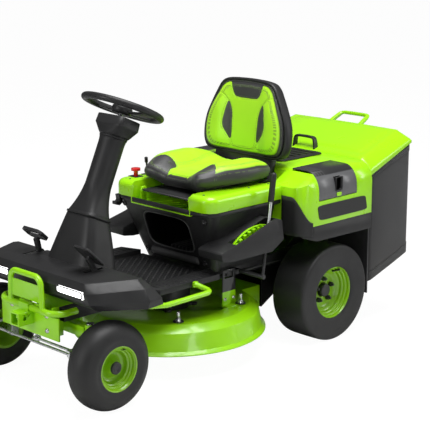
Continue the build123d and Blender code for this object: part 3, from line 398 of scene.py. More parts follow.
def small_turning(name, profile, centre, direction, material, body="chassis",
                  count=24):
    """A solid turned about any direction from (along, radius) points, closed at both ends."""
    direction = Vector(direction).normalized()
    across = direction.orthogonal().normalized()
    other = direction.cross(across)
    rings = []
    for along, radius in profile:
        rings.append([Vector(centre) + direction * along + radius * (across * c + other * s)
                      for c, s in (circle(turn, count) for turn in range(count))])
    return ring_shell(name, rings, material, body, caps=2)


def turned_set(profile, places, material, body="chassis", count=24):
    """Like turnings, one at each (place, direction)."""
    return [small_turning("turning", profile, place, way, material, body, count)
            for place, way in places]


def joined(name, pieces):
    """Several small meshes of one body as one piece."""
    with bpy.context.temp_override(active_object=pieces[0], selected_editable_objects=pieces):
        bpy.ops.object.join()
    pieces[0].name = name
    return pieces[0]


VALVE = [(0, 0.0055), (0.01, 0.005), (0.022, 0.0038), (0.024, 0.0048), (0.034, 0.0046), (0.035, 0.003)]
FRONT_CAP = [(0.028, 0.0235), (0.0405, 0.0235), (0.0445, 0.0225), (0.0465, 0.0195), (0.0465, 0.013),
             (0.0445, 0.0122), (0.0443, 0.004)]
REAR_CAP = [(0.014, 0.0275), (0.03, 0.0275), (0.034, 0.026), (0.035, 0.021), (0.034, 0.012), (0.034, 0.003)]
NUT = [(0, 0.00988), (0.0002, 0.01083), (0.0104, 0.01083), (0.013, 0.00912)]
STUD = [(0.012, 0.0058), (0.021, 0.0058), (0.0225, 0.0045)]
NUT_CIRCLE = 0.048
WHEELS = (("front", FRONT_RIM, 0.022, FRONT_CAP, (0.014, 0.03, 0.056), (1, 0.25, 0.25)),
          ("rear", REAR_RIM, 0.029, REAR_CAP, (0.03, 0.045, 0.075), (1, 0.2, 0.3)))
for side_name, side in (("left", 1), ("right", -1)):
    out = Vector((side, 0, 0))
    for end, half, bore, cap, valve_foot, valve_way in WHEELS:
        body = f"{end}_wheel_{side_name}"
        label = f"{end}_{side_name}"
        hub = centre_of(f"{end}_tyre_{side_name}")
        rim = turned_ring(label + "_rim_pressing", rim_outline(half, bore), hub, side, rim_paint, body)
        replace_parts(rim, f"{end}_rim_{side_name}")
        small_turning(label + "_hub_cap", cap, hub, out, cap_black, body, count=40)
        x, y, z = valve_foot
        small_turning(label + "_valve", VALVE, hub + Vector((side * x, y, z)), (side, *valve_way[1:]),
                      cap_black, body, count=16)
    nuts = []
    for turn in range(5):
        angle = math.radians(72 * turn + 90)
        stud = hub + Vector((side * 0.015, NUT_CIRCLE * math.cos(angle), NUT_CIRCLE * math.sin(angle)))
        nut = small_turning("nut", NUT, stud, out, cap_black, body, 6)
        nut.data.shade_flat()
        nuts += [nut, small_turning("stud", STUD, stud, out, cap_black, body, 16)]
    joined(f"rear_{side_name}_wheel_nuts", nuts)

# ---- Seat and backrest upholstery ----
# Two moulded foam pads in grained vinyl: lime panels, charcoal bolsters and a charcoal head patch, joined
# by sunk, stitched seams.  Signed distances to the seams are kept on the mesh, and the finish reads them to
# place the stitching and a painted shade along each seam.
def vinyl_finish():
    """Two colours of grained vinyl, split where the distance 'panel' is zero, sunk and stitched at 'seam', with
    painted shade darkening the colour along the seam.
    """
    material, tree, shader = new_material("seat_vinyl", {"Sheen Weight": 0.08, "Specular IOR Level": 0.45})
    panel, seam, length = (add_node(tree, "ShaderNodeAttribute", attribute_name=label).outputs["Fac"]
                           for label in ("panel", "seam", "along"))
    texture = add_node(tree, "ShaderNodeGroup", {"Scale": 420.0, "Soft Scale": 9.0}, node_tree=MOULDED_GRAIN)
    tone = texture.outputs["Tone"]
    lime = mixed(tree, tone, (0.44, 0.82, 0.012), (0.37, 0.75, 0.008))
    dark = mixed(tree, tone, (0.028, 0.028, 0.029), (0.04, 0.04, 0.041))
    colour = mixed(tree, ranged(tree, panel, -0.0004, 0.0004), lime, dark)
    # Painted shade: the vinyl colour is darkened to under half along each seam groove.
    unshaded_share = ranged(tree, seam, 0.0004, 0.0022, 0.45, 1.0)
    painted_seam_shade = mixed(tree, worked(tree, "SUBTRACT", 1.0, unshaded_share), colour, (0, 0, 0), blend_type="MULTIPLY")
    off_line = worked(tree, "ABSOLUTE", worked(tree, "SUBTRACT", seam, 0.0048))
    dash = worked(tree, "SINE", worked(tree, "MULTIPLY", length, 900.0))
    thread = worked(tree, "MULTIPLY", worked(tree, "LESS_THAN", off_line, 0.0008),
                    worked(tree, "GREATER_THAN", dash, -0.2))
    stitched = mixed(tree, worked(tree, "MULTIPLY", thread, 0.55), painted_seam_shade, (0.1, 0.16, 0.03))
    pores = bumped(tree, texture.outputs["Height"], 0.00012)
    fill(tree, shader, {"Base Color": stitched, "Roughness": ranged(tree, tone, 0.3, 0.7, 0.36, 0.48),
                        "Normal": bumped(tree, thread, 0.0006, 0.8, Normal=pores)})
    return material


vinyl = vinyl_finish()


def to_segments(point, line):
    """Distance from a plan point to a line of points, and how far along it the nearest place is."""
    best = 1e9
    place = 0.0
    run = 0.0
    for start, end in zip(line, line[1:]):
        edge = end - start
        size = edge.length
        t = min(max((point - start).dot(edge) / max(size * size, 1e-12), 0.0), 1.0)
        gap = (point - start - edge * t).length
        if gap < best:
            best = gap
            place = run + t * size
        run += size
    return best, place


def inside(point, loop):
    """Whether a plan point lies inside a closed loop."""
    found = False
    for a, b in zip(loop, loop[1:] + loop[:1]):
        if (a.y > point.y) != (b.y > point.y):
            if point.x < a.x + (point.y - a.y) * (b.x - a.x) / (b.y - a.y):
                found = not found
    return found


def plan_curve(corners, closed, steps=8):
    return [point.to_2d() for point in even_curve([(x, y, 0) for x, y in corners], steps, closed)]


def face_outward(piece):
    mesh = bmesh.new()
    mesh.from_mesh(piece.data)
    bmesh.ops.recalc_face_normals(mesh, faces=mesh.faces)
    mesh.to_mesh(piece.data)
    mesh.free()


SEAM_SINK = 0.0022
SEAM_WIDTH = 0.004


def swelling_pad(name, outline, top, bottom, edge_power, ring_count, patches, seams, to_place, side_wall):
    """A closed foam pad over a plan outline: top and bottom heights fall to the middle height at its edge.
    Patches are closed plan loops of dark vinyl and seams are open lines; both are sunk into the top."""
    centre = sum(outline, Vector((0, 0))) / len(outline)
    lines = [(loop + loop[:1]) for loop in patches] + seams
    shares = [(1, math.sin(ring / ring_count * math.pi / 2)) for ring in range(1, ring_count + 1)]
    shares += [(-1, 1 - ring / ring_count) for ring in range(1, ring_count)]
    points = []
    values = {"panel": [], "seam": [], "along": []}

    def add_point(place, dark, gap, along):
        points.append(place)
        for label, value in (("panel", dark), ("seam", gap), ("along", along)):
            values[label].append(value)

    for sign, share in shares:
        fall = sign * (1 - share ** edge_power) ** (1 / 2.4)
        for rim_point in outline:
            plan = centre + (rim_point - centre) * share
            dark, gap, along = 1.0, 1.0, 0.0
            if fall >= 0:
                gap, along = min([(1.0, 0.0)] + [to_segments(plan, line) for line in lines])
                edge = min(to_segments(plan, loop + loop[:1])[0] for loop in patches)
                dark = edge if any(inside(plan, loop) for loop in patches) else -edge
                dark = max(dark, (side_wall - fall) * 0.02)
                gap = min(gap, abs(side_wall - fall) * 0.02)
            low, high = bottom(plan), top(plan)
            middle = low + (high - low) * 0.42
            height = middle + fall * ((high - middle) if fall > 0 else (middle - low))
            if fall > 0:
                height -= SEAM_SINK * math.exp(-(gap / SEAM_WIDTH) ** 2)
            add_point(to_place(plan, height), dark, gap, along)
    count = len(outline)
    faces = grid_faces(len(shares), count)
    for height, row_start, sign in ((top, 0, 1), (bottom, (len(shares) - 1) * count, -1)):
        gap, along = min(to_segments(centre, line) for line in lines)
        add_point(to_place(centre, height(centre)), -1.0 * sign, gap, along)
        for turn in range(count):
            face = (len(points) - 1, row_start + turn, row_start + (turn + 1) % count)
            faces.append(face[::sign])
    pad = mesh_piece(name, points, faces, vinyl, "seat")
    for label, numbers in values.items():
        pad.data.attributes.new(label, "FLOAT", "POINT").data.foreach_set("value", numbers)
    face_outward(pad)
    return pad


def mirrored(corners):
    """A closed outline from the half with positive first values."""
    return corners + [(-x, y) for x, y in reversed(corners)]


def ramp(value, low, high):
    t = min(max((value - low) / (high - low), 0.0), 1.0)
    return t * t * (3 - 2 * t)


FRONT_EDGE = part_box("seat_cushion")[0].y
SEAT_PLAN = plan_curve(mirrored([(0.06, FRONT_EDGE + 0.03), (0.118, FRONT_EDGE + 0.01),
                                 (0.158, FRONT_EDGE + 0.004), (0.196, FRONT_EDGE + 0.06), (0.224, -0.04),
                                 (0.234, 0.05), (0.226, 0.13), (0.19, 0.182), (0.1, 0.196)]), True, 10)


def seat_top(plan):
    x = abs(plan.x)
    base = 0.722 + 0.012 * ramp(plan.y, 0.04, 0.19)
    wings = 0.05 * ramp(x, 0.05, 0.15) * (0.5 + 0.5 * ramp(plan.y, -0.185, -0.07))
    nose = -0.018 * ramp(-plan.y, 0.1, 0.19) * ramp(0.14 - x, 0.0, 0.12)
    return base + wings * (1 - 0.55 * ramp(plan.y, 0.06, 0.18)) + nose


def seat_bottom(plan):
    middle = ramp(0.19 - abs(plan.x), 0.0, 0.1) * ramp(0.2 - abs(plan.y), 0.02, 0.09)
    return 0.681 - 0.03 * middle


DARK_WING = plan_curve([(0.05, -0.215), (0.058, -0.152), (0.07, -0.122), (0.072, -0.088), (0.096, -0.074),
                        (0.13, -0.078), (0.168, -0.1), (0.192, -0.128), (0.24, -0.15), (0.2, -0.215),
                        (0.12, -0.22)], True)
DARK_LIP = plan_curve([(0.056, -0.15), (0.03, -0.142), (-0.03, -0.142), (-0.056, -0.15), (-0.07, -0.22),
                       (0.07, -0.22)], True)


def flipped(loop):
    return [Vector((-point.x, point.y)) for point in loop]


thigh_seam = plan_curve([(0.098, -0.1), (0.082, -0.05), (0.086, 0.04), (0.11, 0.16), (0.12, 0.2)], False)
cushion = swelling_pad("seat_cushion_pad", SEAT_PLAN, seat_top, seat_bottom, 9.0, 40,
                       [DARK_WING, flipped(DARK_WING), DARK_LIP], [thigh_seam, flipped(thigh_seam)],
                       lambda plan, height: Vector((plan.x, plan.y, height)), 0.62)
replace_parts(cushion, "seat_cushion")

BACK_LEAN = math.radians(6.0)
BACK_UP = Vector((0, math.sin(BACK_LEAN), math.cos(BACK_LEAN)))
BACK_OUT = Vector((0, -math.cos(BACK_LEAN), math.sin(BACK_LEAN)))
BACK_FOOT = Vector((0, 0.206, 0.757))
BACK_THICK = 0.0296


def on_backrest(plan, height):
    """A point of the backrest: plan is across and up, height is forward from its rear face."""
    return BACK_FOOT + Vector((plan.x, 0, 0)) + BACK_UP * plan.y + BACK_OUT * (height - BACK_THICK)


BACK_PLAN = plan_curve(mirrored([(0.06, 0.001), (0.15, 0.002), (0.196, 0.01), (0.217, 0.04), (0.221, 0.09),
                                 (0.212, 0.14), (0.19, 0.19), (0.164, 0.238), (0.142, 0.272), (0.11, 0.29),
                                 (0.04, 0.296)]), True, 10)


def back_top(plan):
    bolster = ramp(abs(plan.x), 0.075, 0.15) * ramp(0.3 - plan.y, 0.0, 0.14) * ramp(plan.y, -0.05, 0.05)
    return 0.018 + 0.018 * bolster + 0.004 * ramp(plan.y, 0.22, 0.3)


HEAD_PATCH = plan_curve(mirrored([(0.046, 0.226), (0.066, 0.232), (0.078, 0.25), (0.088, 0.28),
                                  (0.094, 0.32)]), True)
CRESCENT = plan_curve([(0.098, 0.204), (0.078, 0.17), (0.072, 0.12), (0.074, 0.05), (0.1, 0.072),
                       (0.118, 0.104), (0.114, 0.15)], True, 10)
shoulder_seam = plan_curve([(0.098, 0.204), (0.112, 0.22), (0.136, 0.234), (0.17, 0.24)], False)
lumbar_seam = plan_curve([(0.074, 0.05), (0.068, 0.035), (0.07, 0.0)], False)
backrest = swelling_pad("backrest_pad", BACK_PLAN, back_top, lambda plan: 0.0, 10.0, 44,
                        [HEAD_PATCH, CRESCENT, flipped(CRESCENT)],
                        [shoulder_seam, flipped(shoulder_seam), lumbar_seam, flipped(lumbar_seam)],
                        on_backrest, 0.66)
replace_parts(backrest, "backrest_cushion")

# ---- Grass bag ----
# One sewn bag of dark coated polyester, hung from the lid's rim on a wire frame: it bellies out between its
# corners, sags along its foot, and has a doubled band at the bottom and a hem at the top.
def woven_finish(name, colour, second, thread):
    """Plain weave as crossing waves, over two tones, with a soft sheen."""
    material, tree, shader = new_material(name, {"Sheen Weight": 0.25, "Sheen Roughness": 0.5})
    spot = object_spot(tree)
    waves = {"Vector": spot, "Scale": thread, "Distortion": 0.6, "Detail": 1.0}
    warp, weft = (add_node(tree, "ShaderNodeTexWave", waves, bands_direction=way).outputs["Fac"]
                  for way in ("DIAGONAL", "Z"))
    cross = worked(tree, "MULTIPLY", warp, weft)
    slub = add_node(tree, "ShaderNodeTexNoise", {"Vector": spot, "Scale": 30.0, "Detail": 5.0}).outputs[0]
    tones = mixed(tree, worked(tree, "MULTIPLY", cross, slub), colour, second)
    fill(tree, shader, {"Base Color": dusty(tree, tones, Amount=0.12, Top=0.45),
                        "Roughness": ranged(tree, slub, 0.0, 1.0, 0.72, 0.86),
                        "Normal": bumped(tree, cross, 0.0004, 0.8)})
    return material


bag_cloth = woven_finish("bag_cloth", (0.014, 0.014, 0.015), (0.05, 0.05, 0.052), 240.0)
hem_cloth = woven_finish("hem_tape", (0.012, 0.012, 0.013), (0.035, 0.035, 0.036), 300.0)
bag_low, bag_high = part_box("grass_bag")
BAG_FOOT_FRONT = 0.184
BAG_FOOT_REAR = 0.276
BAG_TOP_FRONT = 0.655
BAG_TOP_REAR = 0.746


BAG_CORNER = 0.028
BAG_MIDDLE_Y = 0.745


def bag_ring(level):
    """One loop round the bag: level 0 is the foot, 1 the hem under the lid; belly and folds included."""
    half = bag_high.x - 0.008
    front = bag_low.y + 0.006
    rear = bag_high.y - 0.01
    corners = [Vector(corner) for corner in ((-half, front), (half, front), (half, rear), (-half, rear))]
    ring = []
    for number, start in enumerate(corners):
        end = corners[(number + 1) % 4]
        way = (end - start).normalized()
        out = Vector((way.y, -way.x))
        steps = 44 if number % 2 == 0 else 26
        length = (end - start).length
        for step in range(steps):
            t = step / (steps - 1)
            place = start + way * (BAG_CORNER + t * (length - 2 * BAG_CORNER))
            belly = math.sin(math.pi * t) ** 0.8 * math.sin(math.pi * min(1, level * 0.9 + 0.08))
            fold = noise.noise(Vector((place.x * 6, place.y * 6, level * 2.0 + number))) * math.sin(math.pi * t)
            swell = (0.004 if number == 0 else 0.009) * belly + 0.005 * fold * (1 - level) ** 0.4
            ring.append(place + out * swell)
        turn_centre = end - (way + out) * BAG_CORNER
        for step in range(1, 6):
            angle = math.pi / 2 * step / 6
            ring.append(turn_centre + BAG_CORNER * (out * math.cos(angle) + way * math.sin(angle)))
    points = []
    for plan in ring:
        t = (plan.y - front) / (rear - front)
        foot = BAG_FOOT_FRONT + (BAG_FOOT_REAR - BAG_FOOT_FRONT) * t
        head = BAG_TOP_FRONT + (BAG_TOP_REAR - BAG_TOP_FRONT) * t
        sag = 0.006 * math.sin(math.pi * (plan.x + half) / (2 * half)) * (1 - level) ** 3
        points.append(Vector((plan.x, plan.y, foot + (head - foot) * level - sag + 0.006)))
    return points


def thickened(piece, wall, offset=-1):
    modifier = piece.modifiers.new("wall", "SOLIDIFY")
    modifier.thickness = wall
    modifier.offset = offset
    return modifier


BAG_FOOT_TURN = 0.03
foot_ring_of_bag = bag_ring(0.0)
rings = []
for shrink in (0.9, 0.6, 0.25, 0.08):
    rings.append([point + Vector((-point.x * shrink, (BAG_MIDDLE_Y - point.y) * shrink, 0))
                  for point in foot_ring_of_bag])
for level in [0.0, 0.012, BAG_FOOT_TURN] + [BAG_FOOT_TURN + 0.97 * step / 46 for step in range(1, 47)]:
    tuck = 1 - 0.02 * max(0.0, 1 - level / BAG_FOOT_TURN)
    rings.append([Vector((p.x * tuck, p.y, p.z)) for p in bag_ring(level)])
bag = ring_shell("grass_bag_cloth", rings, bag_cloth, "collector", caps=1)
thickened(bag, 0.0022)
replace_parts(bag, "grass_bag")


def standing_ring(level, stand):
    return [p + Vector((p.x, p.y - BAG_MIDDLE_Y, 0)).normalized() * stand for p in bag_ring(level)]


for label, low, high in (("bag_foot_band", 0.0, 0.085), ("bag_top_hem", 0.955, 1.0)):
    levels = [low + (high - low) * step / 6 for step in range(7)]
    rings = [standing_ring(level, 0.002) for level in levels]
    rings += [standing_ring(level, 0.0002) for level in reversed(levels)]
    ring_shell(label, rings, hem_cloth, "collector", closed_path=True)

# ---- Column foot, column tube and head ----
# Blow-moulded charcoal covers round the steering shaft: a foot that flares to the cowl, a flange, a round
# tube with a ring groove at its neck, and a flared head under the wheel.
LEAN = math.radians(24.3)
COLUMN_FOOT = Vector((0, -0.71, 0.391))
COLUMN_UP = Vector((0, math.sin(LEAN), math.cos(LEAN)))
COLUMN_BACK = Vector((0, math.cos(LEAN), -math.sin(LEAN)))


def soft_rectangle(half_x, half_y, power, count=64):
    """Plan points of a rounded rectangle; a higher power is squarer."""
    def softened(value, size):
        return size * math.copysign(abs(value) ** (2 / power), value)

    return [(softened(c, half_x), softened(s, half_y)) for c, s in (circle(turn, count)
                                                                    for turn in range(count))]


def column_ring(t, half_x, half_y, power, shift=0.0):
    return [COLUMN_FOOT + COLUMN_UP * t + COLUMN_BACK * (y + shift) + Vector((x, 0, 0))
            for x, y in soft_rectangle(half_x, half_y, power)]


def foot_ring(share):
    """A section of the column foot, from level with the cowl (0) up to the flange (1)."""
    low = [Vector((x, y - 0.672, 0.357)) for x, y in soft_rectangle(0.144, 0.106, 5.0)]
    high = column_ring(0.252, 0.078, 0.06, 4.2)
    points = []
    for a, b in zip(low, high):
        swell = 1 - share ** 1.9 * 0.42 - share * 0.58
        points.append(Vector((b.x + (a.x - b.x) * swell, b.y + (a.y - b.y) * (1 - share ** 0.95),
                              a.z + (b.z - a.z) * share)))
    return points


foot_rings = [foot_ring(step / 28) for step in range(29)]
foot = ring_shell("column_foot_cover", foot_rings, charcoal)
thickened(foot, 0.003)
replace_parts(foot, "pedestal")

tube_rings = [column_ring(0.25, 0.072, 0.055, 4.0), column_ring(0.2505, 0.0815, 0.063, 4.2),
              column_ring(0.258, 0.0815, 0.063, 4.2), column_ring(0.2595, 0.0775, 0.059, 4.0)]
for step in range(1, 19):
    share = step / 18
    size = 0.0505 + 0.0255 * (1 - share) ** 2.0
    tube_rings.append(column_ring(0.2595 + 0.115 * share, size, size * (0.8 + 0.2 * share),
                                  2.0 + 1.9 * (1 - share)))
tube_rings += [column_ring(t, 0.05, 0.05, 2.0) for t in (0.42, 0.5)]
tube_rings += [column_ring(0.535 + 0.025 * s, 0.05 + 0.0035 * s * s, 0.05 + 0.0015 * s * s, 2.0)
               for s in (0, 0.4, 0.7, 1)]
tube = ring_shell("column_tube_cover", tube_rings, charcoal)
thickened(tube, 0.003)
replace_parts(tube, "column_cover")

head_rings = [column_ring(0.56, 0.0525, 0.0505, 2.0), column_ring(0.5601, 0.055, 0.052, 2.0),
              column_ring(0.5665, 0.056, 0.0525, 2.1), column_ring(0.567, 0.0525, 0.05, 2.1),
              column_ring(0.569, 0.0525, 0.05, 2.1), column_ring(0.5695, 0.057, 0.0525, 2.2)]
for step in range(1, 9):
    share = step / 8
    head_rings.append(column_ring(0.5695 + 0.038 * share, 0.057 + 0.019 * share ** 1.5,
                                  0.0525 + 0.004 * share ** 1.5, 2.2 + 4.2 * share))
head_rings += [column_ring(0.6085, 0.0758, 0.0556, 7.0), column_ring(0.64, 0.0735, 0.0545, 7.0),
               column_ring(0.6418, 0.0715, 0.0525, 6.5), column_ring(0.642, 0.012, 0.012, 2.0)]
head = ring_shell("instrument_head_cover", head_rings, charcoal, caps=1)
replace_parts(head, "steering_head")

# ---- Steering wheel ----
# Charcoal moulded wheel over a steel core: a round rim, two wide webbed spokes that drop
# to the hub, a narrower one towards the driver, and a domed centre cap.
WHEEL_T = 0.6825
RIM_R = 0.149
RIM_TUBE = 0.014


def wheel_point(across, back, up):
    return COLUMN_FOOT + COLUMN_UP * (WHEEL_T + up) + COLUMN_BACK * back + Vector((across, 0, 0))


AROUND = 120
SECTION = 24
rings = []
for c, s in (circle(turn, AROUND) for turn in range(AROUND)):
    ring = []
    for tilt_c, tilt_s in (circle(-part, SECTION) for part in range(SECTION)):
        radius = RIM_R + RIM_TUBE * tilt_c
        ring.append(wheel_point(radius * c, radius * s, RIM_TUBE * 0.96 * tilt_s))
    rings.append(ring)
wheel_rim = ring_shell("steering_wheel_rim", rings, charcoal, "steering_column", closed_path=True)
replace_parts(wheel_rim, "steering_wheel")
webs = []
for angle, spread in ((2.86, 0.3), (0.28, 0.3), (math.pi / 2, 0.17)):
    rings = []
    for step in range(15):
        share = step / 14
        radius = 0.02 + 0.122 * share
        half = 0.016 + (RIM_R * spread - 0.016) * share ** 1.6
        drop = -0.013 + 0.01 * share ** 2
        thick = 0.0055 - 0.0015 * share
        ring = []
        for x, z in soft_rectangle(half, thick, 3.5, 24):
            turn = angle + x / max(radius, 0.05)
            ring.append(wheel_point(radius * math.cos(turn), radius * math.sin(turn), drop + z))
        rings.append(ring)
    webs.append(ring_shell("web", rings, charcoal, "steering_column", caps=1))
joined("steering_wheel_webs", webs)
small_turning("steering_wheel_hub", [(-0.024, 0.034), (-0.022, 0.037), (-0.006, 0.04), (0.0, 0.0395),
                                     (0.005, 0.036), (0.008, 0.028), (0.0095, 0.016), (0.01, 0.004)],
              COLUMN_FOOT + COLUMN_UP * WHEEL_T, COLUMN_UP, charcoal, "steering_column", count=48)

# ---- Collector lid and its handles ----
# One lime moulding: a top that rises to the rear, a raised field inside a step, a bevel down each side and
# a turned-down skirt.  A black bail handle sits in front and a lime tip-up loop at the rear.
LID_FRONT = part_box("bag_lid")[0].y + 0.001
LID_REAR = 0.888


def lid_section(y):
    """Half outline of the lid across the machine, from the skirt's foot to the middle."""
    t = (y - LID_FRONT) / (LID_REAR - LID_FRONT)
    foot = 0.651 + 0.106 * t
    shoulder = 0.677 + 0.098 * t
    crown = 0.7215 + 0.0905 * t
    edge = 0.3795 - 0.014 * t
    bevel = 0.332 - 0.04 * t
    field = crown + 0.006 * ramp(t, 0.16, 0.22) * ramp(1 - t, 0.08, 0.14)
    return [(edge - 0.001, foot), (edge, foot + 0.002), (edge, shoulder - 0.006), (edge - 0.0015, shoulder),
            (edge - 0.006, shoulder + 0.006), (bevel + 0.008, crown - 0.006), (bevel, crown - 0.001),
            (bevel - 0.008, crown), (bevel - 0.03, crown), (bevel - 0.04, crown * 0.4 + field * 0.6),
            (bevel - 0.048, field), (bevel * 0.5, field + 0.0012), (0.0, field + 0.0015)]


lid_rings = []
spans = [0.0, 0.004, 0.012, 0.03, 0.08, 0.14, 0.16, 0.18, 0.2, 0.22, 0.3, 0.4, 0.5, 0.6, 0.7, 0.8, 0.86, 0.88,
         0.9, 0.92, 0.95, 0.975, 0.99, 1.0]
for share in spans:
    y = LID_FRONT + share * (LID_REAR - LID_FRONT)
    drop = 0.01 * (1 - ramp(share, 0.0, 0.04)) + 0.02 * ramp(share, 0.965, 1.0)
    half = lid_section(y)
    loop = [(x, z - drop * ramp(z, half[0][1], half[0][1] + 0.05)) for x, z in half]
    whole = loop + [(-x, z) for x, z in reversed(loop[:-1])]
    lid_rings.append([Vector((x, y, z)) for x, z in reversed(whole)])
lid = ring_shell("collector_lid_moulding", lid_rings, lime_gloss, "collector", caps=2,
                 open_ring=True)
thickened(lid, 0.003).use_even_offset = True
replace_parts(lid, "bag_lid")


def bar_along(name, corners, widths, thick, material, body, power=4.0, steps=8):
    """A solid bar along a smooth line through the corners, oblong in section; widths may vary along it."""
    path = even_curve(corners, steps)
    rings = []
    for number, place in enumerate(path):
        way = (path[min(number + 1, len(path) - 1)] - path[max(number - 1, 0)]).normalized()
        side = Vector((0, 1, 0)) - way * way.y
        side = side.normalized() if side.length > 0.4 else (Vector((1, 0, 0)) - way * way.x).normalized()
        rise = side.cross(way).normalized()
        share = number / (len(path) - 1) * (len(widths) - 1)
        low = min(int(share), len(widths) - 2)
        wide = widths[low] + (widths[low + 1] - widths[low]) * (share - low)
        rings.append([place + side * a + rise * b for a, b in soft_rectangle(wide, thick, power, 24)])
    return ring_shell(name, rings, material, body, caps=1)


def both_ways(half):
    """A mirrored path from its left half."""
    return [(-x, y, z) for x, y, z in half] + [(x, y, z) for x, y, z in reversed(half)]


BAIL = both_ways([(0.06, 0.612, 0.72), (0.0585, 0.612, 0.738), (0.054, 0.612, 0.763), (0.046, 0.612, 0.7725),
                  (0.02, 0.612, 0.7745)])
bar_along("lid_bail_handle", BAIL, (0.0155, 0.0125, 0.0105, 0.0105, 0.0105, 0.0125, 0.0155), 0.0048, cap_black,
          "collector")
TIP_LOOP = both_ways([(0.084, 0.868, 0.796), (0.081, 0.9, 0.811), (0.076, 0.936, 0.828),
                      (0.066, 0.9465, 0.8335), (0.03, 0.948, 0.8345)])
bar_along("lid_tip_loop", TIP_LOOP, (0.0085, 0.0085), 0.0075, lime_gloss, "collector", 5.0)

# ---- Console flange, window bead and roll ----
# Trim of the charcoal console: the flange that the lime cover sits on, the bead round the front window and
# the roll above the footboard, all moulded with the console.  The bead and the roll are charcoal painted a
# lighter grey, a painted sheen.
def prism(name, outline, along, material, body="chassis", bevel=0.0008):
    """A plate: a closed outline of points, drawn out along a vector, with softened edges."""
    sides = [[Vector(point) for point in outline], [Vector(point) + Vector(along) for point in outline]]
    plate = ring_shell(name, sides, material, body, caps=2)
    face_outward(plate)
    soften = plate.modifiers.new("edges", "BEVEL")
    soften.width = bevel
    soften.segments = 3
    soften.limit_method = "ANGLE"
    soften.harden_normals = True
    return plate


def level_loop(half_x, half_y, power, centre, count=96):
    return [Vector((centre[0] + x, centre[1] + y, centre[2])) for x, y in soft_rectangle(half_x, half_y, power,
            count)]


flange_rings = [level_loop(half_x, half_y, 9.0, (0, -0.022, z)) for half_x, half_y, z in (
    (0.2772, 0.2202, 0.593), (0.279, 0.222, 0.5945), (0.279, 0.222, 0.6108), (0.2745, 0.2175, 0.6115),
    (0.274, 0.217, 0.5935))]
ring_shell("console_top_flange", flange_rings, charcoal, closed_path=True)


def console_face(x, z, stand):
    """A point on the console's front face, which leans forward as it rises."""
    return Vector((x, -0.148 - 0.092 * (z - 0.35) / 0.262 - stand, z))


# A lighter grey copy of the charcoal moulding: a painted sheen for the window bead and the roll.
charcoal_painted_sheen = finish("charcoal_painted_sheen", (0.055, 0.055, 0.056), (0.075, 0.075, 0.076), 0.38, 0.12, 1100.0,
                       0.0001)
bead_rings = []
for wide, stand in ((0.1285, -0.004), (0.13, 0.0025), (0.133, 0.003), (0.1345, 0.0005), (0.133, -0.004)):
    tall = wide - 0.0585
    bead_rings.append([console_face(x, 0.49 + z, stand) for x, z in soft_rectangle(wide, tall, 5.0, 80)])
ring_shell("console_window_bead", bead_rings, charcoal_painted_sheen, closed_path=True)
small_turning("console_roll", [(0.0, 0.004), (0.001, 0.014), (0.004, 0.017), (0.266, 0.017), (0.269, 0.014),
                               (0.27, 0.004)], Vector((-0.135, -0.158, 0.388)), Vector((1, 0, 0)),
              charcoal_painted_sheen, count=40)
SOCKET = [(-0.002, 0.0115), (0.0035, 0.011), (0.0045, 0.009), (0.004, 0.007), (0.001, 0.0062), (0.0008, 0.0005)]
FACE_OUT = (0, -0.94, -0.33)
joined("console_screw_sockets", turned_set(SOCKET, [(console_face(side * x, z, 0.0), FACE_OUT)
                                                    for side in (-1, 1)
                                                    for x, z in ((0.168, 0.386), (0.232, 0.574))], cap_black,
                                           count=28))
prism("console_tool_hook", [(-0.282, -0.236, 0.606), (-0.282, -0.214, 0.606), (-0.282, -0.214, 0.572),
                            (-0.282, -0.232, 0.56), (-0.282, -0.252, 0.566), (-0.282, -0.252, 0.58),
                            (-0.282, -0.238, 0.578), (-0.282, -0.232, 0.584)], (0.026, 0, 0), cap_black,
      bevel=0.002)

# ---- Footboard grips ----
# Staggered raised studs and toe ribs moulded into the charcoal footboard, so that wet boots do not slip.
DOME_SIDES = 10
DOME_STEPS = ((1.0, 0.0), (0.93, 0.45), (0.72, 0.8), (0.36, 0.97))


def domes(name, places, radius, height, stretch):
    """Many low domes joined in one piece, each one stretched fore and aft."""
    points = []
    faces = []
    for place in places:
        start = len(points)
        for size, rise in DOME_STEPS:
            for c, s in (circle(turn, DOME_SIDES) for turn in range(DOME_SIDES)):
                points.append(Vector(place) + Vector((radius * size * c, radius * stretch * size * s,
                                                      height * rise)))
        points.append(Vector(place) + Vector((0, 0, height)))
        faces += grid_faces(len(DOME_STEPS), DOME_SIDES, start=start)
        crown = start + (len(DOME_STEPS) - 1) * DOME_SIDES
        faces += [(crown + turn, crown + (turn + 1) % DOME_SIDES, len(points) - 1)
                  for turn in range(DOME_SIDES)]
    return mesh_piece(name, points, faces, charcoal)


BOARD_TOP = 0.3558
STUD_PITCH_X = 0.029
STUD_PITCH_Y = 0.019
stud_places = []
for row in range(19):
    for column in range(13):
        x = (column - 6) * STUD_PITCH_X + (STUD_PITCH_X / 2 if row % 2 else 0)
        y = -0.545 + row * STUD_PITCH_Y
        if abs(x) < 0.186:
            stud_places.append((x, y, BOARD_TOP))
domes("footboard_grip_studs", stud_places, 0.0052, 0.0034, 1.5)
rib_places = [(side * 0.245, -0.492 + number * 0.026, 0.3738) for side in (-1, 1) for number in range(12)]
domes("footboard_toe_ribs", rib_places, 0.034, 0.0022, 0.16)

# ---- Upper cover details ----
# Holes, louvres and screws in the lime cover, the black seat of the blade switch and the zinc bolts that the
# seat tips on.
def cap_screws(name, places, direction, radius, material, body="chassis"):
    head = [(-0.001, radius), (radius * 0.35, radius * 0.98), (radius * 0.55, radius * 0.8),
            (radius * 0.58, radius * 0.5), (radius * 0.2, radius * 0.44), (radius * 0.18, 0.0004)]
    return joined(name, turned_set(head, [(place, direction) for place in places], material, body,
                                   20))


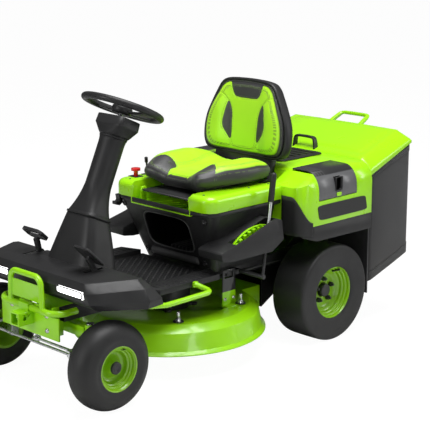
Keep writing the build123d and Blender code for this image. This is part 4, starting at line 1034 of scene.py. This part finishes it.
COVER_TOP = 0.674
TRAY_TOP = 0.592
prism("blade_switch_seat", level_loop(0.027, 0.023, 7.0, (-0.24, -0.158, COVER_TOP - 0.0008), 40),
      (0, 0, 0.0018), cap_black)
prism("direction_lever_seat", level_loop(0.013, 0.03, 5.0, (-0.246, -0.09, COVER_TOP - 0.0008), 40),
      (0, 0, 0.0016), cap_black)
cap_screws("cover_screws", [(side * x, y, COVER_TOP - 0.0006) for side in (-1, 1)
                            for x, y in ((0.214, -0.212), (0.24, 0.01), (0.244, 0.118))], (0, 0, 1), 0.0046,
           cap_black)
cap_screws("tray_plugs", [(x, -0.222, TRAY_TOP - 0.0006) for x in (-0.132, 0.0, 0.132)], (0, 0, 1), 0.0075,
           cap_black)
louvres = []
slots = []
for number in range(6):
    x = -0.118 + 0.044 * number
    shape = [(x - 0.01, -0.196), (x - 0.002, -0.199), (x + 0.052, -0.12), (x + 0.044, -0.116)]
    slots.append(prism("slot", [(a, b, TRAY_TOP + 0.0002) for a, b in shape], (0, 0, 0.0006), cap_black,
                       bevel=0.0002))
    crest = [(x + 0.0, -0.202, TRAY_TOP), (x + 0.01, -0.203, TRAY_TOP), (x + 0.062, -0.124, TRAY_TOP),
             (x + 0.054, -0.121, TRAY_TOP)]
    louvres.append(prism("crest", crest, (0, 0, 0.005), lime_gloss, "chassis", 0.0022))
joined("tray_louvre_slots", slots)
joined("tray_louvre_crests", louvres)
PIVOT_BOLT = [(0.0, 0.0125), (0.0012, 0.0128), (0.0024, 0.0125), (0.0026, 0.0098), (0.007, 0.0094),
              (0.0088, 0.0076), (0.0096, 0.004), (0.0098, 0.0004)]
PIVOT_BOSS = [(0.0, 0.015), (0.0008, 0.0155), (0.0026, 0.0152), (0.003, 0.011)]
pivots = []
for side in (-1, 1):
    pivots += turned_set(PIVOT_BOLT, [((side * 0.1422, -0.206, 0.641), (side, 0, 0))], zinc, "chassis",
                         28)
    pivots += turned_set(PIVOT_BOSS, [((side * 0.1378, -0.206, 0.641), (-side, 0, 0))], lime_gloss, "chassis",
                         28)
joined("seat_pivot_bolts", pivots)

# ---- Height quadrant ----
# Laser-cut lime plate that holds the height lever: a curved rail above a row of seven square teeth, bolted
# inside the console's side housing.
LEVER_PIVOT = Vector((0, -0.001, 0.33))
TOP_ANGLE = math.radians(8.2)


def quadrant_point(x, radius, angle):
    return Vector((x, LEVER_PIVOT.y + radius * math.sin(angle), LEVER_PIVOT.z + radius * math.cos(angle)))


def arc_band(x, radii):
    """Outline of a curved band between an outer and an inner radius."""
    angles = [TOP_ANGLE + math.radians(5) - math.radians(57) * step / 24 for step in range(25)]
    return ([quadrant_point(x, radii[0], angle) for angle in angles]
            + [quadrant_point(x, radii[1], angle) for angle in reversed(angles)])


PLATE_X = 0.2985
quadrant = [prism("rail", arc_band(PLATE_X, (0.2045, 0.17)), (0.003, 0, 0), lime_paint, "chassis",
                  0.0006), prism("lip", arc_band(PLATE_X, (0.2065, 0.203)), (0.0105, 0, 0),
                                               lime_paint, "chassis")]
for notch in range(7):
    angle = TOP_ANGLE - math.radians(3.7) - math.radians(7.5) * notch
    tooth = [quadrant_point(0.306, radius, angle + turn) for radius, turn in
             ((0.202, 0.029), (0.202, -0.029), (0.188, -0.031), (0.188, 0.031))]
    quadrant.append(prism("tooth", tooth, (0.015, 0, 0), lime_paint, "chassis"))
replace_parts(joined("height_quadrant_plate", quadrant), "lever_quadrant")

# ---- Lamps ----
# Black surrounds for the lamps under the cowl's brow, whose bars are clear polycarbonate with white light
# guides.
lamp_surround = []
for side in (-1, 1):
    rings = []
    for half_x, half_z, y in ((0.0735, 0.014, -0.8785), (0.0745, 0.015, -0.88), (0.069, 0.0105, -0.88),
                              (0.0685, 0.01, -0.877)):
        rings.append([Vector((side * 0.216 + x, y, 0.428 + z)) for x, z in soft_rectangle(half_x, half_z, 7.0,
                56)])
    lamp_surround.append(ring_shell("surround", rings, cap_black))
joined("lamp_surrounds", lamp_surround)

# ---- Backrest shell ----
# Blow-moulded charcoal shell behind the backrest pad: its rim stands round the pad, its back is domed, and two
# black arms bolt it to the seat pan.
shell_rings = []
SHELL_MIDDLE = Vector((0, 0.152))
for grow, depth in ((1.006, 0.01), (1.012, 0.014), (1.04, 0.0165), (1.062, 0.014), (1.072, 0.008),
                    (1.076, -0.001), (1.072, -0.014), (1.055, -0.026), (1.02, -0.035), (0.95, -0.042),
                    (0.84, -0.047), (0.65, -0.05), (0.4, -0.0515), (0.15, -0.052), (0.01, -0.052)):
    shell_rings.append([on_backrest(SHELL_MIDDLE + (point - SHELL_MIDDLE) * grow, depth)
                        for point in BACK_PLAN])
back_shell = ring_shell("backrest_moulded_shell", shell_rings, charcoal, "seat", caps=1)
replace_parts(back_shell, "backrest_shell")
cap_screws("backrest_screws", [on_backrest(Vector((side * x, y)), -0.0475) for side in (-1, 1)
                               for x, y in ((0.085, 0.055), (0.085, 0.23))], -BACK_OUT, 0.006, cap_black,
           "seat")

# ---- Side plates and latches ----
# Gloss black blank plate under each battery cover, with rounded ends, riveted to the fender.
plate_black = finish("plate_black", (0.004, 0.004, 0.004), (0.006, 0.006, 0.006), 0.3, 0.04, 400.0, 0.00001,
                     coat=0.08)
plates = []
for side in (-1, 1):
    outline = [Vector((side * 0.4031, 0.392 + y - z * 0.22, 0.558 + z))
               for y, z in soft_rectangle(0.15, 0.031, 9.0, 64)]
    plates.append(prism("plate", outline, (side * 0.0022, 0, 0), plate_black, bevel=0.0009))
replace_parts(joined("blank_side_plates", plates), "badge_plates")

# ---- Deck studs and lift brackets ----
# Zinc height studs with black washers and flanged nuts on the deck's shoulder, and pan-head bolts that hold
# the lift straps.
WASHER = [(-0.001, 0.021), (0.0016, 0.0215), (0.0028, 0.02), (0.003, 0.008)]
DECK_NUT = [(0.002, 0.0145), (0.0038, 0.0145), (0.0045, 0.0115), (0.0125, 0.011), (0.0135, 0.009),
            (0.0138, 0.007)]
DECK_STUD = [(0.004, 0.0063), (0.0385, 0.0063), (0.04, 0.0052), (0.0403, 0.0004)]
UP = (0, 0, 1)
shoulder = [((side * 0.237, y, 0.2085), UP) for side in (-1, 1) for y in (-0.03, -0.37)]
joined("deck_height_studs", turned_set(DECK_NUT, shoulder, zinc, "deck", 6)
       + turned_set(DECK_STUD, shoulder, zinc, "deck", 20))
joined("deck_stud_washers", turned_set(WASHER, shoulder, cap_black, "deck", count=32))
STRAP_BOLT = [(0.0, 0.0085), (0.0015, 0.0085), (0.0018, 0.0066), (0.006, 0.006), (0.0066, 0.0004)]
joined("lift_strap_bolts", turned_set(STRAP_BOLT, [((side * 0.2142, y, 0.232), (side, 0, 0)) for side in (-1, 1)
                                                   for y in (-0.096, -0.048)], zinc, "deck", 6))

# ---- Front plate hardware ----
# Zinc flanged bolts on the lime front channel and its hitch tube.
channel_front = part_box("front_channel")[0].y
FLANGED_BOLT = [(0.0, 0.01), (0.0014, 0.01), (0.0018, 0.0074), (0.0065, 0.007), (0.0072, 0.0004)]
joined("front_channel_bolts", turned_set(FLANGED_BOLT, [
    ((side * 0.104, channel_front - 0.0002, z), (0, -1, 0)) for side in (-1, 1) for z in (0.318, 0.262)], zinc,
    "chassis", 6))

# ---- Battery covers ----
# Smoked polycarbonate lids over the battery bays: dark on top with a moulded grille at the front, paler
# down the side where the ribs show through, with a sunk grip and a lime latch.
def cover_finish():
    """Dark top and grille lines by place on the moulding; paler ribbed side."""
    material, tree, shader = new_material("smoked_cover", {"Coat Weight": 0.12, "Coat Roughness": 0.2})
    spot = object_spot(tree)
    parts = add_node(tree, "ShaderNodeSeparateXYZ", {0: spot})
    grille = add_node(tree, "ShaderNodeTexBrick", {
        "Vector": spot, "Color1": (0.01, 0.01, 0.01, 1), "Color2": (0.014, 0.014, 0.014, 1),
        "Mortar": (0.06, 0.06, 0.062, 1), "Scale": 1.0, "Mortar Size": 0.0022, "Brick Width": 0.019,
        "Row Height": 0.016}, offset=0.0)
    stretch = add_node(tree, "ShaderNodeMapping", {"Vector": spot, "Scale": (1.0, 3.0, 0.12)})
    streak = add_node(tree, "ShaderNodeTexNoise", {"Vector": stretch.outputs[0], "Scale": 60.0,
                                                   "Detail": 3.0}).outputs[0]
    side = mixed(tree, streak, (0.088, 0.089, 0.092), (0.118, 0.119, 0.123))
    front = ranged(tree, parts.outputs["Y"], 0.306, 0.309, 1.0, 0.0)
    top = mixed(tree, front, (0.02, 0.02, 0.021), grille.outputs["Color"])
    fill(tree, shader, {"Base Color": mixed(tree, ranged(tree, parts.outputs["Z"], 0.701, 0.7035), side, top),
                        "Roughness": ranged(tree, streak, 0.0, 1.0, 0.32, 0.4)})
    return material


smoked_cover = cover_finish()
for node in ("battery_cover_left", "battery_cover_right"):
    dress(node, smoked_cover, 0.003)
for side, body in ((-1, "cover_right"), (1, "cover_left")):
    rings = []
    for half_y, half_z, x in ((0.0225, 0.03, 0.4036), (0.0225, 0.03, 0.4046), (0.0185, 0.0265, 0.4046),
                              (0.018, 0.026, 0.392)):
        rings.append([Vector((side * x, 0.366 + y, 0.662 + z)) for y, z in soft_rectangle(half_y, half_z, 8.0,
                40)])
    ring_shell("grip", rings, cap_black, body)

# ---- Fender gap shade sheets ----
# Charcoal sheet over each fender's front below its lime border, closing the gap to the console: a dark sheet
# that paints the shade in that gap.
SHADE_SHEET_CORNER = Vector((0.337, 0.224))
SHADE_SHEET_R = 0.0672
SHADE_SHEET_FOOT = 0.47
SHADE_SHEET_TOP = 0.628
for side, label in ((1, "left"), (-1, "right")):
    plan = [Vector((0.283 + 0.054 * step / 6, SHADE_SHEET_CORNER.y - SHADE_SHEET_R)) for step in range(6)]
    plan += [SHADE_SHEET_CORNER + SHADE_SHEET_R * Vector((math.sin(angle), -math.cos(angle)))
             for angle in (math.radians(5.6 * step) for step in range(15))]
    columns = []
    for number, place in enumerate(plan):
        share = number / (len(plan) - 1)
        top = SHADE_SHEET_TOP - 0.104 * ramp(share, 0.3, 1.0)
        columns.append([Vector((side * place.x, place.y, SHADE_SHEET_FOOT + (top - SHADE_SHEET_FOOT) * step / 8))
                        for step in range(9)][::-side])
    thickened(ring_shell("fender_gap_shade_" + label, columns, charcoal, open_ring=True), 0.0022, 1)

# ---- Deck shell and height linkage ----
# The pressed deck is lime; its straps and the linkage above them are black, and the lever rod is zinc plated.
def two_colour(name, low_material, height, above, metal_above=False):
    """One steel part in two finishes, parted at a level."""
    material = low_material.copy()
    material.name = name
    tree = material.node_tree
    shader = tree.nodes["Principled BSDF"]
    source = shader.inputs["Base Color"].links[0].from_socket
    parts = add_node(tree, "ShaderNodeSeparateXYZ", {0: object_spot(tree)})
    level = ranged(tree, parts.outputs["Z"], height, height + 0.001)
    fill(tree, shader, {"Base Color": mixed(tree, level, source, above)})
    if metal_above:
        fill(tree, shader, {"Metallic": level})
    return material


dress("mower_deck", two_colour("deck_lime", lime_paint, 0.262, (0.016, 0.016, 0.017)), 0.002)
dress("lift_shaft", two_colour("linkage_steel", black_steel, 0.468, (0.62, 0.63, 0.64), True), 0.0006)
